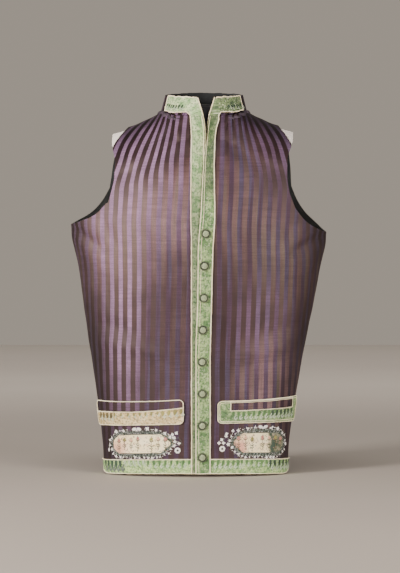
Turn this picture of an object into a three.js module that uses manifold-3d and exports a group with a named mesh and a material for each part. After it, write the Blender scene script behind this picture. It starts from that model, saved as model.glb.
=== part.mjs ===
// A sleeveless striped silk jacket (a stand-collared waistcoat) on the limbless dress form that carries it.
// Millimetres, +Z up. The front faces -Y and the wearer's left is +X. It stands on the form's flat base.
//
// Every cloth piece is a thin wall on one body surface. That surface is read from two coordinates:
//   across  how far a point lies from the middle, as an angle round the section or as a width
//   up      how far up the cloth it lies, which is its height until the cloth rolls over the shoulder
// Trims, flaps and pipings are made from the points of the panel that they lie on, moved out.
import * as THREE from "three";
import { mergeVertices } from "three/addons/utils/BufferGeometryUtils.js";
import Module from "manifold-3d";

const wasm = await Module();
wasm.setup();

// ---------------------------------------------------------------- driving sizes

const clothWall = 1.6; // silk, interlining and lining sewn as one
const trimWall = 0.9; // woven ribbon
const layerGap = 0.35; // between a panel and what lies on it
const flapWall = 1.8;
const lapLift = 3.8; // how far the upper front stands off where it laps the lower one
const lapShares = [0.8, 0.3]; // how much of that is left at the first columns in from the edge
const lapEnd = 530; // the lift is gone at this height, and dies out over
const lapFade = 25; // this much below it

const hem = 3; // height of the lower edge
const hemBandTop = 25;
const flapBottom = 80;
const flapTrimTop = 101;
const flapTop = 118;
const chestRow = 340; // the last level row below the armhole

const shoulderRoom = 2.1; // from the form to the middle of the cloth that rests on it
const neckGap = 0.4; // between the form and the cover on its neck

const rollHeight = 75; // the cloth bends over the shoulder within this height
const ridgeY = 8; // the top of the shoulder lies this far behind the side seam
const neckPointX = 69.5; // where the shoulder's top line meets the collar, on both cuts
const hangsStraight = 80; // degrees round the section past which the cloth doesn't roll over the shoulder
const sideAngle = 95; // the side seam, in degrees round the section from the front
const sideGap = 0.7; // degrees between the edges that meet at the side seam

const button = { radius: 7.5, count: 8, first: 28, pitch: 49.3, share: 0.44, sides: 16 };

// Half of the button's outline, from the middle of its foot to the top of its crown.
const buttonProfile = [
  { radius: 0, height: 0 },
  { radius: 6.9, height: 0 },
  { radius: 7.5, height: 0.8 },
  { radius: 7, height: 1.6 },
  { radius: 5.4, height: 3.7 },
  { radius: 3, height: 4.4 },
  { radius: 0, height: 4.6 },
];

// Level sections of the body, from hem to neck: half its width, its depth before and behind the side seam,
// how far its middle leans to the wearer's left, how much higher that side hangs for each millimetre out,
// and how far both sides dip below the middle.
const sections = [
  { z: 2, half: 144, front: 74, back: 80, lean: -4, tilt: 0, dip: 4 },
  { z: 45, half: 146, front: 76, back: 81, lean: -4, tilt: 0.009, dip: 4.5 },
  { z: 110, half: 155, front: 79, back: 82, lean: -3, tilt: 0.027, dip: 0 },
  { z: 180, half: 166, front: 84, back: 84, lean: -2.4, tilt: 0.014, dip: 0 },
  { z: 250, half: 178.5, front: 90, back: 92, lean: -0.4, tilt: 0, dip: 0 },
  { z: 320, half: 190, front: 97, back: 100, lean: 0.8, tilt: -0.015, dip: 0 },
  { z: 385, half: 202, front: 102, back: 104, lean: 0, tilt: -0.03, dip: 0 },
  { z: 406, half: 203.2, front: 101.4, back: 103.4, lean: 1, tilt: -0.012, dip: 0 },
  { z: 440, half: 205, front: 100, back: 102, lean: 3, tilt: 0, dip: 0 },
  { z: 485, half: 208, front: 92, back: 94, lean: 4.3, tilt: 0.025, dip: 0 },
  { z: 525, half: 212, front: 74, back: 85, lean: 6.4, tilt: 0.012, dip: 0 },
  { z: 565, half: 212, front: 74, back: 85, lean: 8.5, tilt: 0.01, dip: 0 },
  { z: 610, half: 212, front: 74, back: 85, lean: 9, tilt: 0, dip: 0 },
];

// Height of the shoulder's top line at each distance from the middle. Inside the neck it guides the neckline.
const ridge = [
  { x: 0, z: 603 },
  { x: 12, z: 601 },
  { x: 35, z: 592 },
  { x: 50, z: 583 },
  { x: 62, z: 573 },
  { x: 70, z: 567 },
  { x: 80, z: 561 },
  { x: 92, z: 555.8 },
  { x: 106, z: 549.3 },
  { x: 120, z: 545 },
  { x: 143, z: 541 },
  { x: 215, z: 541 },
];

// The front edges: the edge itself, the inner side of its ribbon, and how far the edge rolls back.
const rightOpening = [
  { up: 2, edge: 12, inner: -10.5, back: 0 },
  { up: 349, edge: 12, inner: -10.5, back: 0 },
  { up: 405, edge: 12, inner: -11.5, back: 5 },
  { up: 437, edge: 11.5, inner: -11.5, back: 9 },
  { up: 471, edge: 10.5, inner: -11, back: 12 },
  { up: 500, edge: 9, inner: -11, back: 12 },
  { up: 524, edge: 9.4, inner: -10.5, back: 11 },
  { up: 543, edge: 8.5, inner: -11.5, back: 10 },
  { up: 570, edge: 4, inner: -14, back: 10 },
];
const leftOpening = [
  { up: 2, edge: -3.8, inner: 17.7, back: 0 },
  { up: 180, edge: -3.8, inner: 17.7, back: 0 },
  { up: 271, edge: -1, inner: 19.8, back: 0 },
  { up: 349, edge: 0, inner: 22, back: 0 },
  { up: 405, edge: 4.5, inner: 24.8, back: 3 },
  { up: 437, edge: 6.4, inner: 24.2, back: 6 },
  { up: 471, edge: 8.7, inner: 23.8, back: 9 },
  { up: 500, edge: 11, inner: 24.5, back: 12 },
  { up: 524, edge: 14.3, inner: 25.8, back: 15 },
  { up: 543, edge: 15.5, inner: 29, back: 15 },
  { up: 570, edge: 20, inner: 34.5, back: 14 },
];

// The cut of a front and of a back. Columns are shares of the way from the middle line to the side seam.
// The armhole runs from the underarm to where the last long column starts, and on up to the shoulder.
// The top edge is the neckline and then the shoulder seam, one row for each long column, in degrees of roll.
const frontCut = {
  columns: [0, 0.05, 0.12, 0.18, 0.24, 0.3, 0.35, 0.395, 0.44, 0.52, 0.6, 0.68, 0.77, 0.88, 1],
  longColumns: 8,
  underarm: [
    { x: 143.5, up: 421 },
    { x: 157, up: 405 },
    { x: 170, up: 395 },
    { x: 188, up: 387.5 },
    { x: 203, up: 384 },
  ],
  armhole: [
    { x: 143.5, up: 421 },
    { x: 136.8, up: 441 },
    { x: 133.4, up: 463 },
    { x: 133.4, up: 487 },
    { x: 138.6, up: 512 },
    { x: 135.6, up: 524 },
    { x: 128.6, up: 542 },
    { x: 119.8, up: 570 },
    { x: 115, up: 612 },
  ],
  top: [
    { x: 24, roll: 28 },
    { x: 38, roll: 34 },
    { x: 49, roll: 42 },
    { x: 60, roll: 62 },
    { x: 66.5, roll: 84 },
    { x: 69.5, roll: 105 },
    { x: 83, roll: 105 },
    { x: 98.5, roll: 105 },
    { x: 115, roll: 105 },
  ],
};
const backCut = {
  columns: [0, 0.08, 0.16, 0.24, 0.31, 0.38, 0.44, 0.49, 0.54, 0.62, 0.71, 0.8, 0.9, 1],
  longColumns: 8,
  underarm: [
    { x: 147, up: 453 },
    { x: 157.5, up: 431 },
    { x: 172, up: 411.5 },
    { x: 190, up: 396 },
    { x: 203, up: 384 },
  ],
  armhole: [
    { x: 148.5, up: 453 },
    { x: 145.5, up: 472 },
    { x: 142.5, up: 492 },
    { x: 137.8, up: 515 },
    { x: 129, up: 538 },
    { x: 115, up: 561 },
  ],
  top: [
    { x: 0, roll: 43 },
    { x: 18, roll: 46 },
    { x: 35, roll: 52 },
    { x: 50, roll: 58.5 },
    { x: 61, roll: 66 },
    { x: 69.5, roll: 74.2 },
    { x: 83, roll: 74.2 },
    { x: 98.5, roll: 74.2 },
    { x: 115, roll: 74.2 },
  ],
};
const lowRows = [hem, hemBandTop, 52, flapBottom, flapTrimTop, flapTop, 160, 205, 250, 295, chestRow];
// Shares of the way from the armhole's foot to the neckline and shoulder.
const highRows = [0.14, 0.28, 0.4, 0.49, 0.57, 0.64, 0.71, 0.77, 0.83, 0.89, 0.945, 1];

// The stand collar. Its top edge runs round an oval, and its front ends stand apart.
const collar = {
  middleX: 9,
  middleY: 4,
  half: 61,
  front: 60,
  back: 58,
  frontTop: 585,
  backTop: 604.5,
  foot: 1.6, // above the neckline
  rightEnd: -2.5,
  leftEnd: 27,
  bandColumns: 4, // ribbon covers these at each front end
};

// The limbless form inside the cloth: where its sides are cut off, the oval that its front and back follow
// and its two depths. It is rounded in at the base and has flat arm plates below the shoulder caps.
const formRows = [
  { z: -3, cut: 104, oval: 104.2, front: 30, back: 40 },
  { z: 4, cut: 122, oval: 122.2, front: 46, back: 56 },
  { z: 20, cut: 132, oval: 132.2, front: 60, back: 68 },
  { z: 60, cut: 138, oval: 138.2, front: 67, back: 73 },
  { z: 110, cut: 146, oval: 146.2, front: 71, back: 75 },
  { z: 180, cut: 156, oval: 156.2, front: 76, back: 77 },
  { z: 250, cut: 166, oval: 166.2, front: 82, back: 84 },
  { z: 310, cut: 171, oval: 171.3, front: 88, back: 91 },
  { z: 350, cut: 167, oval: 168.5, front: 90, back: 94 },
  { z: 380, cut: 157, oval: 163, front: 89, back: 95 },
  { z: 402, cut: 145, oval: 164, front: 86, back: 94 },
  { z: 422, cut: 132, oval: 168, front: 82, back: 92 },
  { z: 440, cut: 126, oval: 176, front: 77, back: 90 },
  { z: 460, cut: 125, oval: 186, front: 70, back: 87 },
  { z: 480, cut: 126, oval: 196, front: 60, back: 84 },
  { z: 496, cut: 129, oval: 204, front: 54, back: 80 },
  { z: 507, cut: 134, oval: 210, front: 50, back: 77 },
  { z: 515, cut: 141.5, oval: 212, front: 48, back: 75 },
  { z: 522, cut: 142.5, oval: 212, front: 48, back: 75 },
  { z: 529, cut: 142.5, oval: 212, front: 48, back: 75 },
  { z: 534.4, cut: 142.5, oval: 212, front: 48, back: 75 },
  { z: 538.4, cut: 128, oval: 212, front: 48, back: 75 },
  { z: 541, cut: 120, oval: 212, front: 48, back: 75 },
  { z: 546.5, cut: 106, oval: 212, front: 48, back: 75 },
  { z: 553, cut: 92, oval: 212, front: 48, back: 75 },
  { z: 559.2, cut: 80, oval: 212, front: 48, back: 75 },
];
const formColumns = 12; // across the front and again across the back
const formTurn = { from: 440, over: 90 }; // its middle moves back to the shoulder's ridge over this height
const formTiltFrom = 500; // above this the form tilts with the garment
const shoulderTopX = 70; // the form is no higher than the shoulder is here

// The form's black neck cover: an oval block, cut to the form under it.
const neckRows = [
  { z: 484, half: 50, front: 52, back: 44 },
  { z: 566, half: 50, front: 52, back: 44 },
  { z: 572, half: 49, front: 51, back: 43 },
  { z: 576, half: 45, front: 47, back: 39 },
  { z: 577.5, half: 34, front: 38, back: 29 },
];
const neckMiddle = { x: 9, y: 2, turn: 86 };

// The patches let into the lower fronts, from one panel column to another, with their half heights.
const medallions = {
  right: { firstColumn: 2, lastColumn: 10 },
  left: { firstColumn: 3, lastColumn: 11 },
};
const medallionHigh = { up: 50, middle: 14.5, tip: 4 };

const colours = {
  stripedSilk: { color: 0x6d5a70, roughness: 0.38 },
  darkLining: { color: 0x1c1f1d, roughness: 0.6 },
  greenRibbon: { color: 0x93a884, roughness: 0.65 },
  creamRibbon: { color: 0xc9b894, roughness: 0.65 },
  paleSatin: { color: 0xd9ceb4, roughness: 0.45 },
  formJersey: { color: 0xd8cdbf, roughness: 0.85 },
  blackCloth: { color: 0x1a191c, roughness: 0.9 },
};

// ---------------------------------------------------------------- reading tables

const degrees = Math.PI / 180;
const between = (a, b, t) => a + (b - a) * t;

// A smooth curve through a table's rows, level beyond its ends and never past its own values.
function read(table, key, column, at) {
  let i = 0;
  while (i < table.length - 2 && at > table[i + 1][key]) i++;
  const [a, b] = [table[i], table[i + 1]];
  const step = b[key] - a[key];
  const t = Math.min(1, Math.max(0, (at - a[key]) / step));
  const slope = (p, q) => (q[column] - p[column]) / (q[key] - p[key]);
  const kept = (m, n) => (m * n <= 0 ? 0 : (2 * m * n) / (m + n));
  const here = slope(a, b);
  const startSlope = i > 0 ? kept(slope(table[i - 1], a), here) : here;
  const endSlope = i < table.length - 2 ? kept(here, slope(b, table[i + 2])) : here;
  const [t2, t3] = [t * t, t * t * t];
  const fromStart = (2 * t3 - 3 * t2 + 1) * a[column] + (t3 - 2 * t2 + t) * step * startSlope;
  return fromStart + (3 * t2 - 2 * t3) * b[column] + (t3 - t2) * step * endSlope;
}

const section = (column, z) => read(sections, "z", column, z);
const ridgeAt = (x) => read(ridge, "x", "z", Math.abs(x));

// ---------------------------------------------------------------- the body surface

// Where the roll over the shoulder starts at a distance from the middle, and its depths from the ridge.
function rollAt(x) {
  const start = ridgeAt(x) - rollHeight;
  const round = Math.sqrt(Math.max(0, 1 - (x / section("half", start)) ** 2));
  return {
    start,
    front: section("front", start) * round + ridgeY,
    back: section("back", start) * round - ridgeY,
  };
}

// The length of a quarter of the roll, close to that of a quarter ellipse.
const quarter = (depth) => (Math.PI / 2) * Math.sqrt((rollHeight ** 2 + depth ** 2) / 2);

// How far up the cloth a roll of so many degrees lies.
function upAtRoll(x, roll, isBack) {
  const { start, front, back } = rollAt(x);
  return start + (quarter(isBack ? back : front) * roll) / 90;
}

// A point of the body surface. The angle is taken round the section from the middle of the front or the back.
function bodyPoint({ side, isBack }, angle, up) {
  const x = section("half", up) * Math.sin(angle * degrees);
  const { start, front, back } = rollAt(x);
  if (up <= start || angle > hangsStraight) {
    const towardsFront = Math.cos(angle * degrees) * (isBack ? -1 : 1);
    return hung(side * x, -towardsFront * section(towardsFront > 0 ? "front" : "back", up), up);
  }
  const roll = ((up - start) / quarter(isBack ? back : front)) * 90 * degrees;
  const bend = isBack ? Math.PI - roll : roll;
  const depth = Math.cos(bend) > 0 ? front : back;
  return hung(side * x, ridgeY - Math.cos(bend) * depth, start + rollHeight * Math.sin(bend));
}

// Leans, tilts and dips a point the way the whole garment hangs.
function hung(x, y, z) {
  const dip = section("dip", z) * (x / section("half", z)) ** 2;
  return new THREE.Vector3(x + section("lean", z), y, z + section("tilt", z) * x - dip);
}

const angleAt = (x, up) => Math.asin(Math.max(-1, Math.min(1, x / section("half", up)))) / degrees;

// ---------------------------------------------------------------- the panels' points

// Width from the middle line to a line of the opening, on the panel's own side.
function openingX({ side, opening }, column, up) {
  return side * (read(opening, "up", column, up) - section("lean", up));
}

const startX = (panel, up) => (panel.opening ? openingX(panel, "inner", up) : 0);

function columnAngle(panel, column, up) {
  const seam = panel.isBack ? 180 - sideAngle - sideGap : sideAngle;
  return between(angleAt(startX(panel, up), up), seam, panel.cut.columns[column]);
}

// The lapped front stands off at its edge, and lies down again over the next columns and below the neck.
function liftAt(panel, column, up) {
  if (!panel.laps || column > 1) return 0;
  const fade = Math.min(1, Math.max(0, (lapEnd - up) / lapFade));
  return lapLift * fade * (column < 0 ? 1 : lapShares[column]);
}

function clothPoint(panel, column, angle, up) {
  const point = bodyPoint(panel, angle, up);
  point.y -= liftAt(panel, column, up);
  return point;
}

// The front edge itself, rolled back into the neck opening.
function edgePoint(panel, up) {
  const point = clothPoint(panel, -1, angleAt(openingX(panel, "edge", up), up), up);
  point.y += read(panel.opening, "up", "back", up);
  return point;
}

// A row of cloth from the front edge outwards, at the given heights. Columns past the armhole are left out.
function clothRow(panel, upOf, angleOf, count) {
  const cells = panel.cut.columns.map((_, c) =>
    c < count ? clothPoint(panel, c, angleOf(c), upOf(c)) : null,
  );
  return panel.opening ? [edgePoint(panel, upOf(0)), ...cells] : cells;
}

function lowRow(panel, up) {
  return clothRow(panel, () => up, (c) => columnAngle(panel, c, up), panel.cut.columns.length);
}

// Where a column meets the underarm. The height is found again a few times, as the column leans with it.
function underarmUp(panel, column) {
  const { longColumns, underarm } = panel.cut;
  if (column <= longColumns) return underarm[0].up;
  let up = underarm[0].up;
  for (let n = 0; n < 6; n++) {
    const x = section("half", up) * Math.sin(columnAngle(panel, column, up) * degrees);
    up = read(underarm, "x", "up", x);
  }
  return up;
}

function climbingRow(panel, share) {
  const upOf = (c) => between(chestRow, underarmUp(panel, c), share);
  return clothRow(panel, upOf, (c) => columnAngle(panel, c, upOf(c)), panel.cut.columns.length);
}

// The edges between which the long columns go on: the row at the armhole's foot, the neckline and shoulder,
// and the armhole. The fourth edge is the ribbon's inner side.
function upperEdges(panel) {
  const { cut, isBack } = panel;
  const footUp = cut.underarm[0].up;
  const footX = (c) => section("half", footUp) * Math.sin(columnAngle(panel, c, footUp) * degrees);
  const foot = (c) => ({ x: footX(c), up: footUp });
  const top = cut.top.map(({ x, roll }) => ({ x, up: upAtRoll(x, roll, isBack) }));
  top[0].x = startX(panel, top[0].up);
  const armhole = cut.armhole.map((row, i) => ({ ...row, t: i / (cut.armhole.length - 1) }));
  armhole[0] = { ...foot(cut.longColumns), t: 0 };
  armhole[armhole.length - 1] = { ...top[cut.longColumns], t: 1 };
  return { foot, top, armhole };
}

// A point in the four-sided field between those edges.
function upperPoint(panel, edges, column, t) {
  const { cut } = panel;
  const { foot, top, armhole } = edges;
  const last = cut.longColumns;
  const s = cut.columns[column] / cut.columns[last];
  const middleUp = between(foot(0).up, top[0].up, t);
  const middle = { x: startX(panel, middleUp), up: middleUp };
  const blend = (key) => {
    const sides = between(middle[key], read(armhole, "t", key, t), s);
    const ends = between(foot(column)[key], top[column][key], t);
    const low = between(foot(0)[key], foot(last)[key], s);
    const high = between(top[0][key], top[last][key], s);
    return sides + ends - between(low, high, t);
  };
  return { x: blend("x"), up: blend("up") };
}

function upperRow(panel, edges, t) {
  const at = (c) => upperPoint(panel, edges, c, t);
  return clothRow(panel, (c) => at(c).up, (c) => angleAt(at(c).x, at(c).up), panel.cut.longColumns + 1);
}

function panelRows(panel) {
  const edges = upperEdges(panel);
  return [
    ...lowRows.map((up) => lowRow(panel, up)),
    climbingRow(panel, 0.5),
    climbingRow(panel, 1),
    ...highRows.map((t) => upperRow(panel, edges, t)),
  ];
}

// ---------------------------------------------------------------- patches and walls

// A patch is a grid of points with its faces, read from left to right as seen from outside and upwards.
function patchOf(rows) {
  const points = [];
  const index = rows.map((row) => row.map((p) => (p ? points.push(p) - 1 : -1)));
  const patch = { points, index };
  patch.faces = facesIn(patch, () => true);
  patch.normals = normalsOf(patch);
  return patch;
}

function facesIn({ index }, wanted) {
  const faces = [];
  for (let j = 0; j + 1 < index.length; j++)
    for (let i = 0; i + 1 < index[j].length; i++) {
      const face = [index[j][i], index[j][i + 1], index[j + 1][i + 1], index[j + 1][i]];
      if (face.every((k) => k >= 0) && wanted(i, j)) faces.push(face);
    }
  return faces;
}

// Some of a patch's faces on the same points and normals, so that what is made of them lies on the patch.
const partOf = (patch, wanted) => ({ ...patch, faces: facesIn(patch, wanted) });

function normalsOf({ points, faces }) {
  const normals = points.map(() => new THREE.Vector3());
  for (const [a, b, c, d] of faces) {
    const n = new THREE.Vector3().subVectors(points[c], points[a]);
    n.cross(new THREE.Vector3().subVectors(points[d], points[b]));
    for (const k of [a, b, c, d]) normals[k].add(n);
  }
  return normals.map((n) => n.normalize());
}

// The wall between two distances from a patch, closed along its edges.
function wallOf(patch, inner, outer) {
  const used = [...new Set(patch.faces.flat())];
  const place = new Map(used.map((k, n) => [k, n]));
  const layer = (d) => used.map((k) => patch.points[k].clone().addScaledVector(patch.normals[k], d));
  const far = used.length;
  const triangles = [];
  const edges = new Map();
  for (const corners of patch.faces) {
    const [a, b, c, d] = corners.map((k) => place.get(k));
    triangles.push([a, b, c], [a, c, d], [a + far, c + far, b + far], [a + far, d + far, c + far]);
    for (const [p, q] of [[a, b], [b, c], [c, d], [d, a]]) {
      if (edges.has(`${q} ${p}`)) edges.delete(`${q} ${p}`);
      else edges.set(`${p} ${q}`, [p, q]);
    }
  }
  for (const [p, q] of edges.values()) triangles.push([q, p, p + far], [q, p + far, q + far]);
  return geometryOf([...layer(outer), ...layer(inner)], triangles);
}

function geometryOf(points, triangles) {
  const geometry = new THREE.BufferGeometry();
  const numbers = points.flatMap((p) => [p.x, p.y, p.z]);
  geometry.setAttribute("position", new THREE.Float32BufferAttribute(numbers, 3));
  geometry.setIndex(triangles.flat());
  return geometry;
}

// Rings of equal length, one above another and anticlockwise from above, closed at both ends. Each ring is a
// front row and a back row, and the ends are closed between the two.
function towerOf(rings) {
  const count = rings[0].length;
  const half = count / 2;
  const top = (rings.length - 1) * count;
  const triangles = [];
  for (let j = 0; j + 1 < rings.length; j++)
    for (let i = 0; i < count; i++) {
      const [a, b] = [j * count + i, j * count + ((i + 1) % count)];
      triangles.push([a, b, b + count], [a, b + count, a + count]);
    }
  for (let i = 0; i + 1 < half; i++) {
    const [a, b, c, d] = [i, i + 1, count - 2 - i, count - 1 - i];
    triangles.push([a, c, b], [a, d, c], [top + a, top + b, top + c], [top + a, top + c, top + d]);
  }
  return geometryOf(rings.flat(), triangles);
}

// ---------------------------------------------------------------- joining and cutting

function toSolid(geometry) {
  const mesh = new wasm.Mesh({
    numProp: 3,
    vertProperties: new Float32Array(geometry.getAttribute("position").array),
    triVerts: new Uint32Array(geometry.getIndex().array),
  });
  mesh.merge();
  return new wasm.Manifold(mesh);
}

function toGeometry(solid) {
  const mesh = solid.getMesh();
  const geometry = new THREE.BufferGeometry();
  geometry.setAttribute("position", new THREE.Float32BufferAttribute(mesh.vertProperties, 3));
  geometry.setIndex(Array.from(mesh.triVerts));
  return geometry;
}

// ---------------------------------------------------------------- the object

const object = new THREE.Group();

function add(name, geometry, colour) {
  const material = new THREE.MeshStandardMaterial({ ...colours[colour], metalness: 0 });
  const mesh = new THREE.Mesh(geometry, material);
  mesh.name = name;
  object.add(mesh);
}

const clothFace = clothWall / 2;
const trimFoot = clothFace + layerGap;
const trimFace = trimFoot + trimWall;

// Rows run outwards from the middle, so those that run to the left as seen from outside are turned round.
const runsLeft = ({ side, isBack }) => side < 0 !== isBack;
const facing = (panel, rows) => patchOf(runsLeft(panel) ? rows.map((row) => [...row].reverse()) : rows);

// Whether a face lies between two of a front's columns, counted outwards with the front edge as column 0.
function inColumns(panel, first, last) {
  const count = panel.cut.columns.length;
  return (i) => {
    const column = runsLeft(panel) ? count - 1 - i : i;
    return column >= first && column < last;
  };
}

function addFront(panel) {
  const patch = facing(panel, panelRows(panel));
  const count = panel.cut.columns.length;
  const isBand = inColumns(panel, 0, 1);
  const isField = inColumns(panel, 1, count);
  add(`front_${panel.name}`, wallOf(patch, -clothFace, clothFace), "stripedSilk");
  add(`front_band_${panel.name}`, wallOf(partOf(patch, (i) => isBand(i)), trimFoot, trimFace), panel.ribbon);
  const hemBand = partOf(patch, (i, j) => j === 0 && isField(i));
  add(`hem_band_${panel.name}`, wallOf(hemBand, trimFoot, trimFace), "greenRibbon");
}

function addFlap(panel) {
  const columns = [2, panel.cut.columns.length]; // from the second column to the last but one
  const row = (up) => lowRow(panel, up).slice(...columns);
  const patch = facing(panel, [row(flapBottom), row(flapTrimTop), row(flapTop)]);
  add(`flap_${panel.name}`, wallOf(patch, trimFoot, trimFoot + flapWall), "stripedSilk");
  const last = columns[1] - columns[0] - 2;
  const isTrim = (i, j) => j === 0 || (panel.laps && (i === 0 || i === last));
  const face = trimFoot + flapWall + layerGap;
  add(`flap_trim_${panel.name}`, wallOf(partOf(patch, isTrim), face, face + trimWall), panel.flapRibbon);
}

function addMedallion(panel) {
  const { firstColumn, lastColumn } = medallions[panel.name];
  const row = (direction) => {
    const cells = [];
    for (let c = firstColumn; c <= lastColumn; c++) {
      const isTip = c === firstColumn || c === lastColumn;
      const height = medallionHigh.up + direction * medallionHigh[isTip ? "tip" : "middle"];
      cells.push(clothPoint(panel, c, columnAngle(panel, c, height), height));
    }
    return cells;
  };
  const patch = facing(panel, [row(-1), row(0), row(1)]);
  add(`medallion_${panel.name}`, wallOf(patch, trimFoot, trimFace), "paleSatin");
}

// The back is one piece, from side seam to side seam.
function addBack(left, right) {
  const leftRows = panelRows(left);
  const rightRows = panelRows(right);
  const rows = leftRows.map((row, j) => [...[...row].reverse(), ...rightRows[j].slice(1)]);
  add("back", wallOf(patchOf(rows), -clothFace, clothFace), "darkLining");
}

// ---------------------------------------------------------------- the collar

// The neckline from the right front's edge round the back to the left front's edge.
function neckline(right, left, backRight, backLeft) {
  const seam = frontCut.top.findIndex(({ x }) => x === neckPointX);
  const front = (panel) => panelRows(panel).at(-1).slice(0, seam + 2);
  const back = (panel) => panelRows(panel).at(-1).slice(0, seam);
  return [
    ...front(right),
    ...back(backRight).reverse(),
    ...back(backLeft).slice(1),
    ...front(left).reverse(),
  ];
}

function collarTop(point, end) {
  const { middleX, middleY, half, front, back, frontTop, backTop } = collar;
  const atPoint = Math.atan2(point.x - middleX, middleY - point.y);
  const turn = end === undefined ? atPoint : Math.asin((end - middleX) / half);
  const depth = Math.cos(turn) > 0 ? front : back;
  const z = between(frontTop, backTop, (1 - Math.cos(turn)) / 2);
  return new THREE.Vector3(middleX + half * Math.sin(turn), middleY - depth * Math.cos(turn), z);
}

function addCollar(feet) {
  const last = feet.length - 1;
  const tops = feet.map((p, k) => collarTop(p, { 0: collar.rightEnd, [last]: collar.leftEnd }[k]));
  const foot = feet.map((p) => p.clone().add(new THREE.Vector3(0, 0, collar.foot)));
  const row = (t) => foot.map((p, k) => p.clone().lerp(tops[k], t));
  // the neckline runs clockwise as seen from above, so its rows are turned to face outwards
  const patch = patchOf([0, 0.35, 0.7, 1].map((t) => row(t).reverse()));
  const lining = -clothFace - layerGap;
  add("collar_stand", wallOf(patch, -clothFace, clothFace), "stripedSilk");
  add("collar_lining", wallOf(patch, lining - trimWall, lining), "darkLining");
  const isLeft = (i) => i < collar.bandColumns;
  const isRight = (i) => i >= last - collar.bandColumns;
  add("collar_band_left", wallOf(partOf(patch, isLeft), trimFoot, trimFace), "greenRibbon");
  add("collar_band_right", wallOf(partOf(patch, isRight), trimFoot, trimFace), "greenRibbon");
}

// ---------------------------------------------------------------- the buttons

// The two sides of the front ribbon at a height, on the flat faces between the panel's rows.
function bandAt(rows, up) {
  const heights = [...lowRows, between(chestRow, frontCut.underarm[0].up, 0.5)];
  const j = heights.findIndex((height, i) => up >= height && up <= heights[i + 1]);
  const t = (up - heights[j]) / (heights[j + 1] - heights[j]);
  return [0, 1].map((column) => rows[j][column].clone().lerp(rows[j + 1][column], t));
}

function addButtons(panel) {
  const rows = panelRows(panel);
  const outline = buttonProfile.map(({ radius, height }) => new THREE.Vector2(radius, height));
  for (let n = 0; n < button.count; n++) {
    const up = button.first + n * button.pitch;
    const [edge, inner] = bandAt(rows, up);
    const rise = edge.clone().sub(bandAt(rows, up - button.radius)[0]);
    const out = new THREE.Vector3().subVectors(inner, edge).cross(rise).normalize();
    const foot = edge.clone().lerp(inner, button.share).addScaledVector(out, trimFace + layerGap);
    const turned = new THREE.LatheGeometry(outline, button.sides).deleteAttribute("uv").deleteAttribute("normal");
    const geometry = mergeVertices(turned);
    const turn = new THREE.Quaternion().setFromUnitVectors(new THREE.Vector3(0, 1, 0), out);
    add(`button_${n + 1}`, geometry.applyQuaternion(turn).translate(foot.x, foot.y, foot.z), "greenRibbon");
  }
}

// ---------------------------------------------------------------- the form

// How deep the form is at a width and height, from nothing at its shoulder's ridge to its whole depth below.
function formDepth(row, x, key, grown) {
  const start = Math.min(ridgeAt(x), ridgeAt(shoulderTopX)) - shoulderRoom - rollHeight;
  const climb = Math.min(1, Math.max(0, (row.z - start) / rollHeight));
  const round = Math.sqrt(Math.max(0, 1 - (x / row.oval) ** 2));
  return Math.max(2, (row[key] + grown) * round * Math.sqrt(1 - climb ** 2));
}

// Numbers from -1 to 1, one for each of the form's columns.
const acrossForm = Array.from({ length: formColumns + 1 }, (_, i) => (i / formColumns) * 2 - 1);

function formRing(row, grown) {
  const z = row.z + grown;
  const lean = section("lean", row.z);
  const climb = Math.max(0, Math.min(1, (row.z - formTurn.from) / formTurn.over));
  const middle = ridgeY * climb;
  const cut = row.cut + grown;
  const cells = acrossForm.map((t) => Math.sin(t * 90 * degrees));
  const front = cells.map((s) => hungAt(cut * s + lean, middle - formDepth(row, cut * s, "front", grown), z));
  const back = cells.map((s) => hungAt(cut * s + lean, middle + formDepth(row, cut * s, "back", grown), z));
  return [...front, ...back.reverse()];
}

// The form tilts with the garment at the shoulders only, as its base is level.
function hungAt(x, y, z) {
  return new THREE.Vector3(x, y, z + (z > formTiltFrom ? section("tilt", z) * x : 0));
}

const formBody = (grown = 0) => towerOf(formRows.map((row) => formRing(row, grown)));

function addForm() {
  add("dress_form", formBody(), "formJersey");
  const rings = neckRows.map(({ z, half, front, back }) => {
    const turns = acrossForm.map((t) => t * neckMiddle.turn * degrees);
    const x = (turn) => neckMiddle.x + half * Math.sin(turn);
    const at = (turn, depth) => new THREE.Vector3(x(turn), neckMiddle.y + depth * Math.cos(turn), z);
    return [...turns.map((turn) => at(turn, -front)), ...turns.map((turn) => at(turn, back)).reverse()];
  });
  const cover = toSolid(towerOf(rings)).subtract(toSolid(formBody(neckGap)));
  add("neck_cover", toGeometry(cover), "blackCloth");
}

// ---------------------------------------------------------------- assembly

// Puts the middle of the whole object's base at the origin.
function standOnOrigin() {
  const box = new THREE.Box3().setFromObject(object);
  const middle = box.getCenter(new THREE.Vector3());
  for (const { geometry } of object.children) geometry.translate(-middle.x, -middle.y, -box.min.z);
}

const rightFront = {
  name: "right", side: -1, isBack: false, cut: frontCut, opening: rightOpening,
  ribbon: "creamRibbon", flapRibbon: "creamRibbon",
};
const leftFront = {
  name: "left", side: 1, isBack: false, cut: frontCut, opening: leftOpening, laps: true,
  ribbon: "greenRibbon", flapRibbon: "greenRibbon",
};
const rightBack = { side: -1, isBack: true, cut: backCut };
const leftBack = { side: 1, isBack: true, cut: backCut };

for (const panel of [rightFront, leftFront]) {
  addFront(panel);
  addFlap(panel);
  addMedallion(panel);
}
addBack(leftBack, rightBack);
addCollar(neckline(rightFront, leftFront, rightBack, leftBack));
addButtons(leftFront);
addForm();
standOnOrigin();

export default object;
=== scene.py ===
import bisect
import math
import random
import bpy
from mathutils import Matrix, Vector, noise


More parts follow.
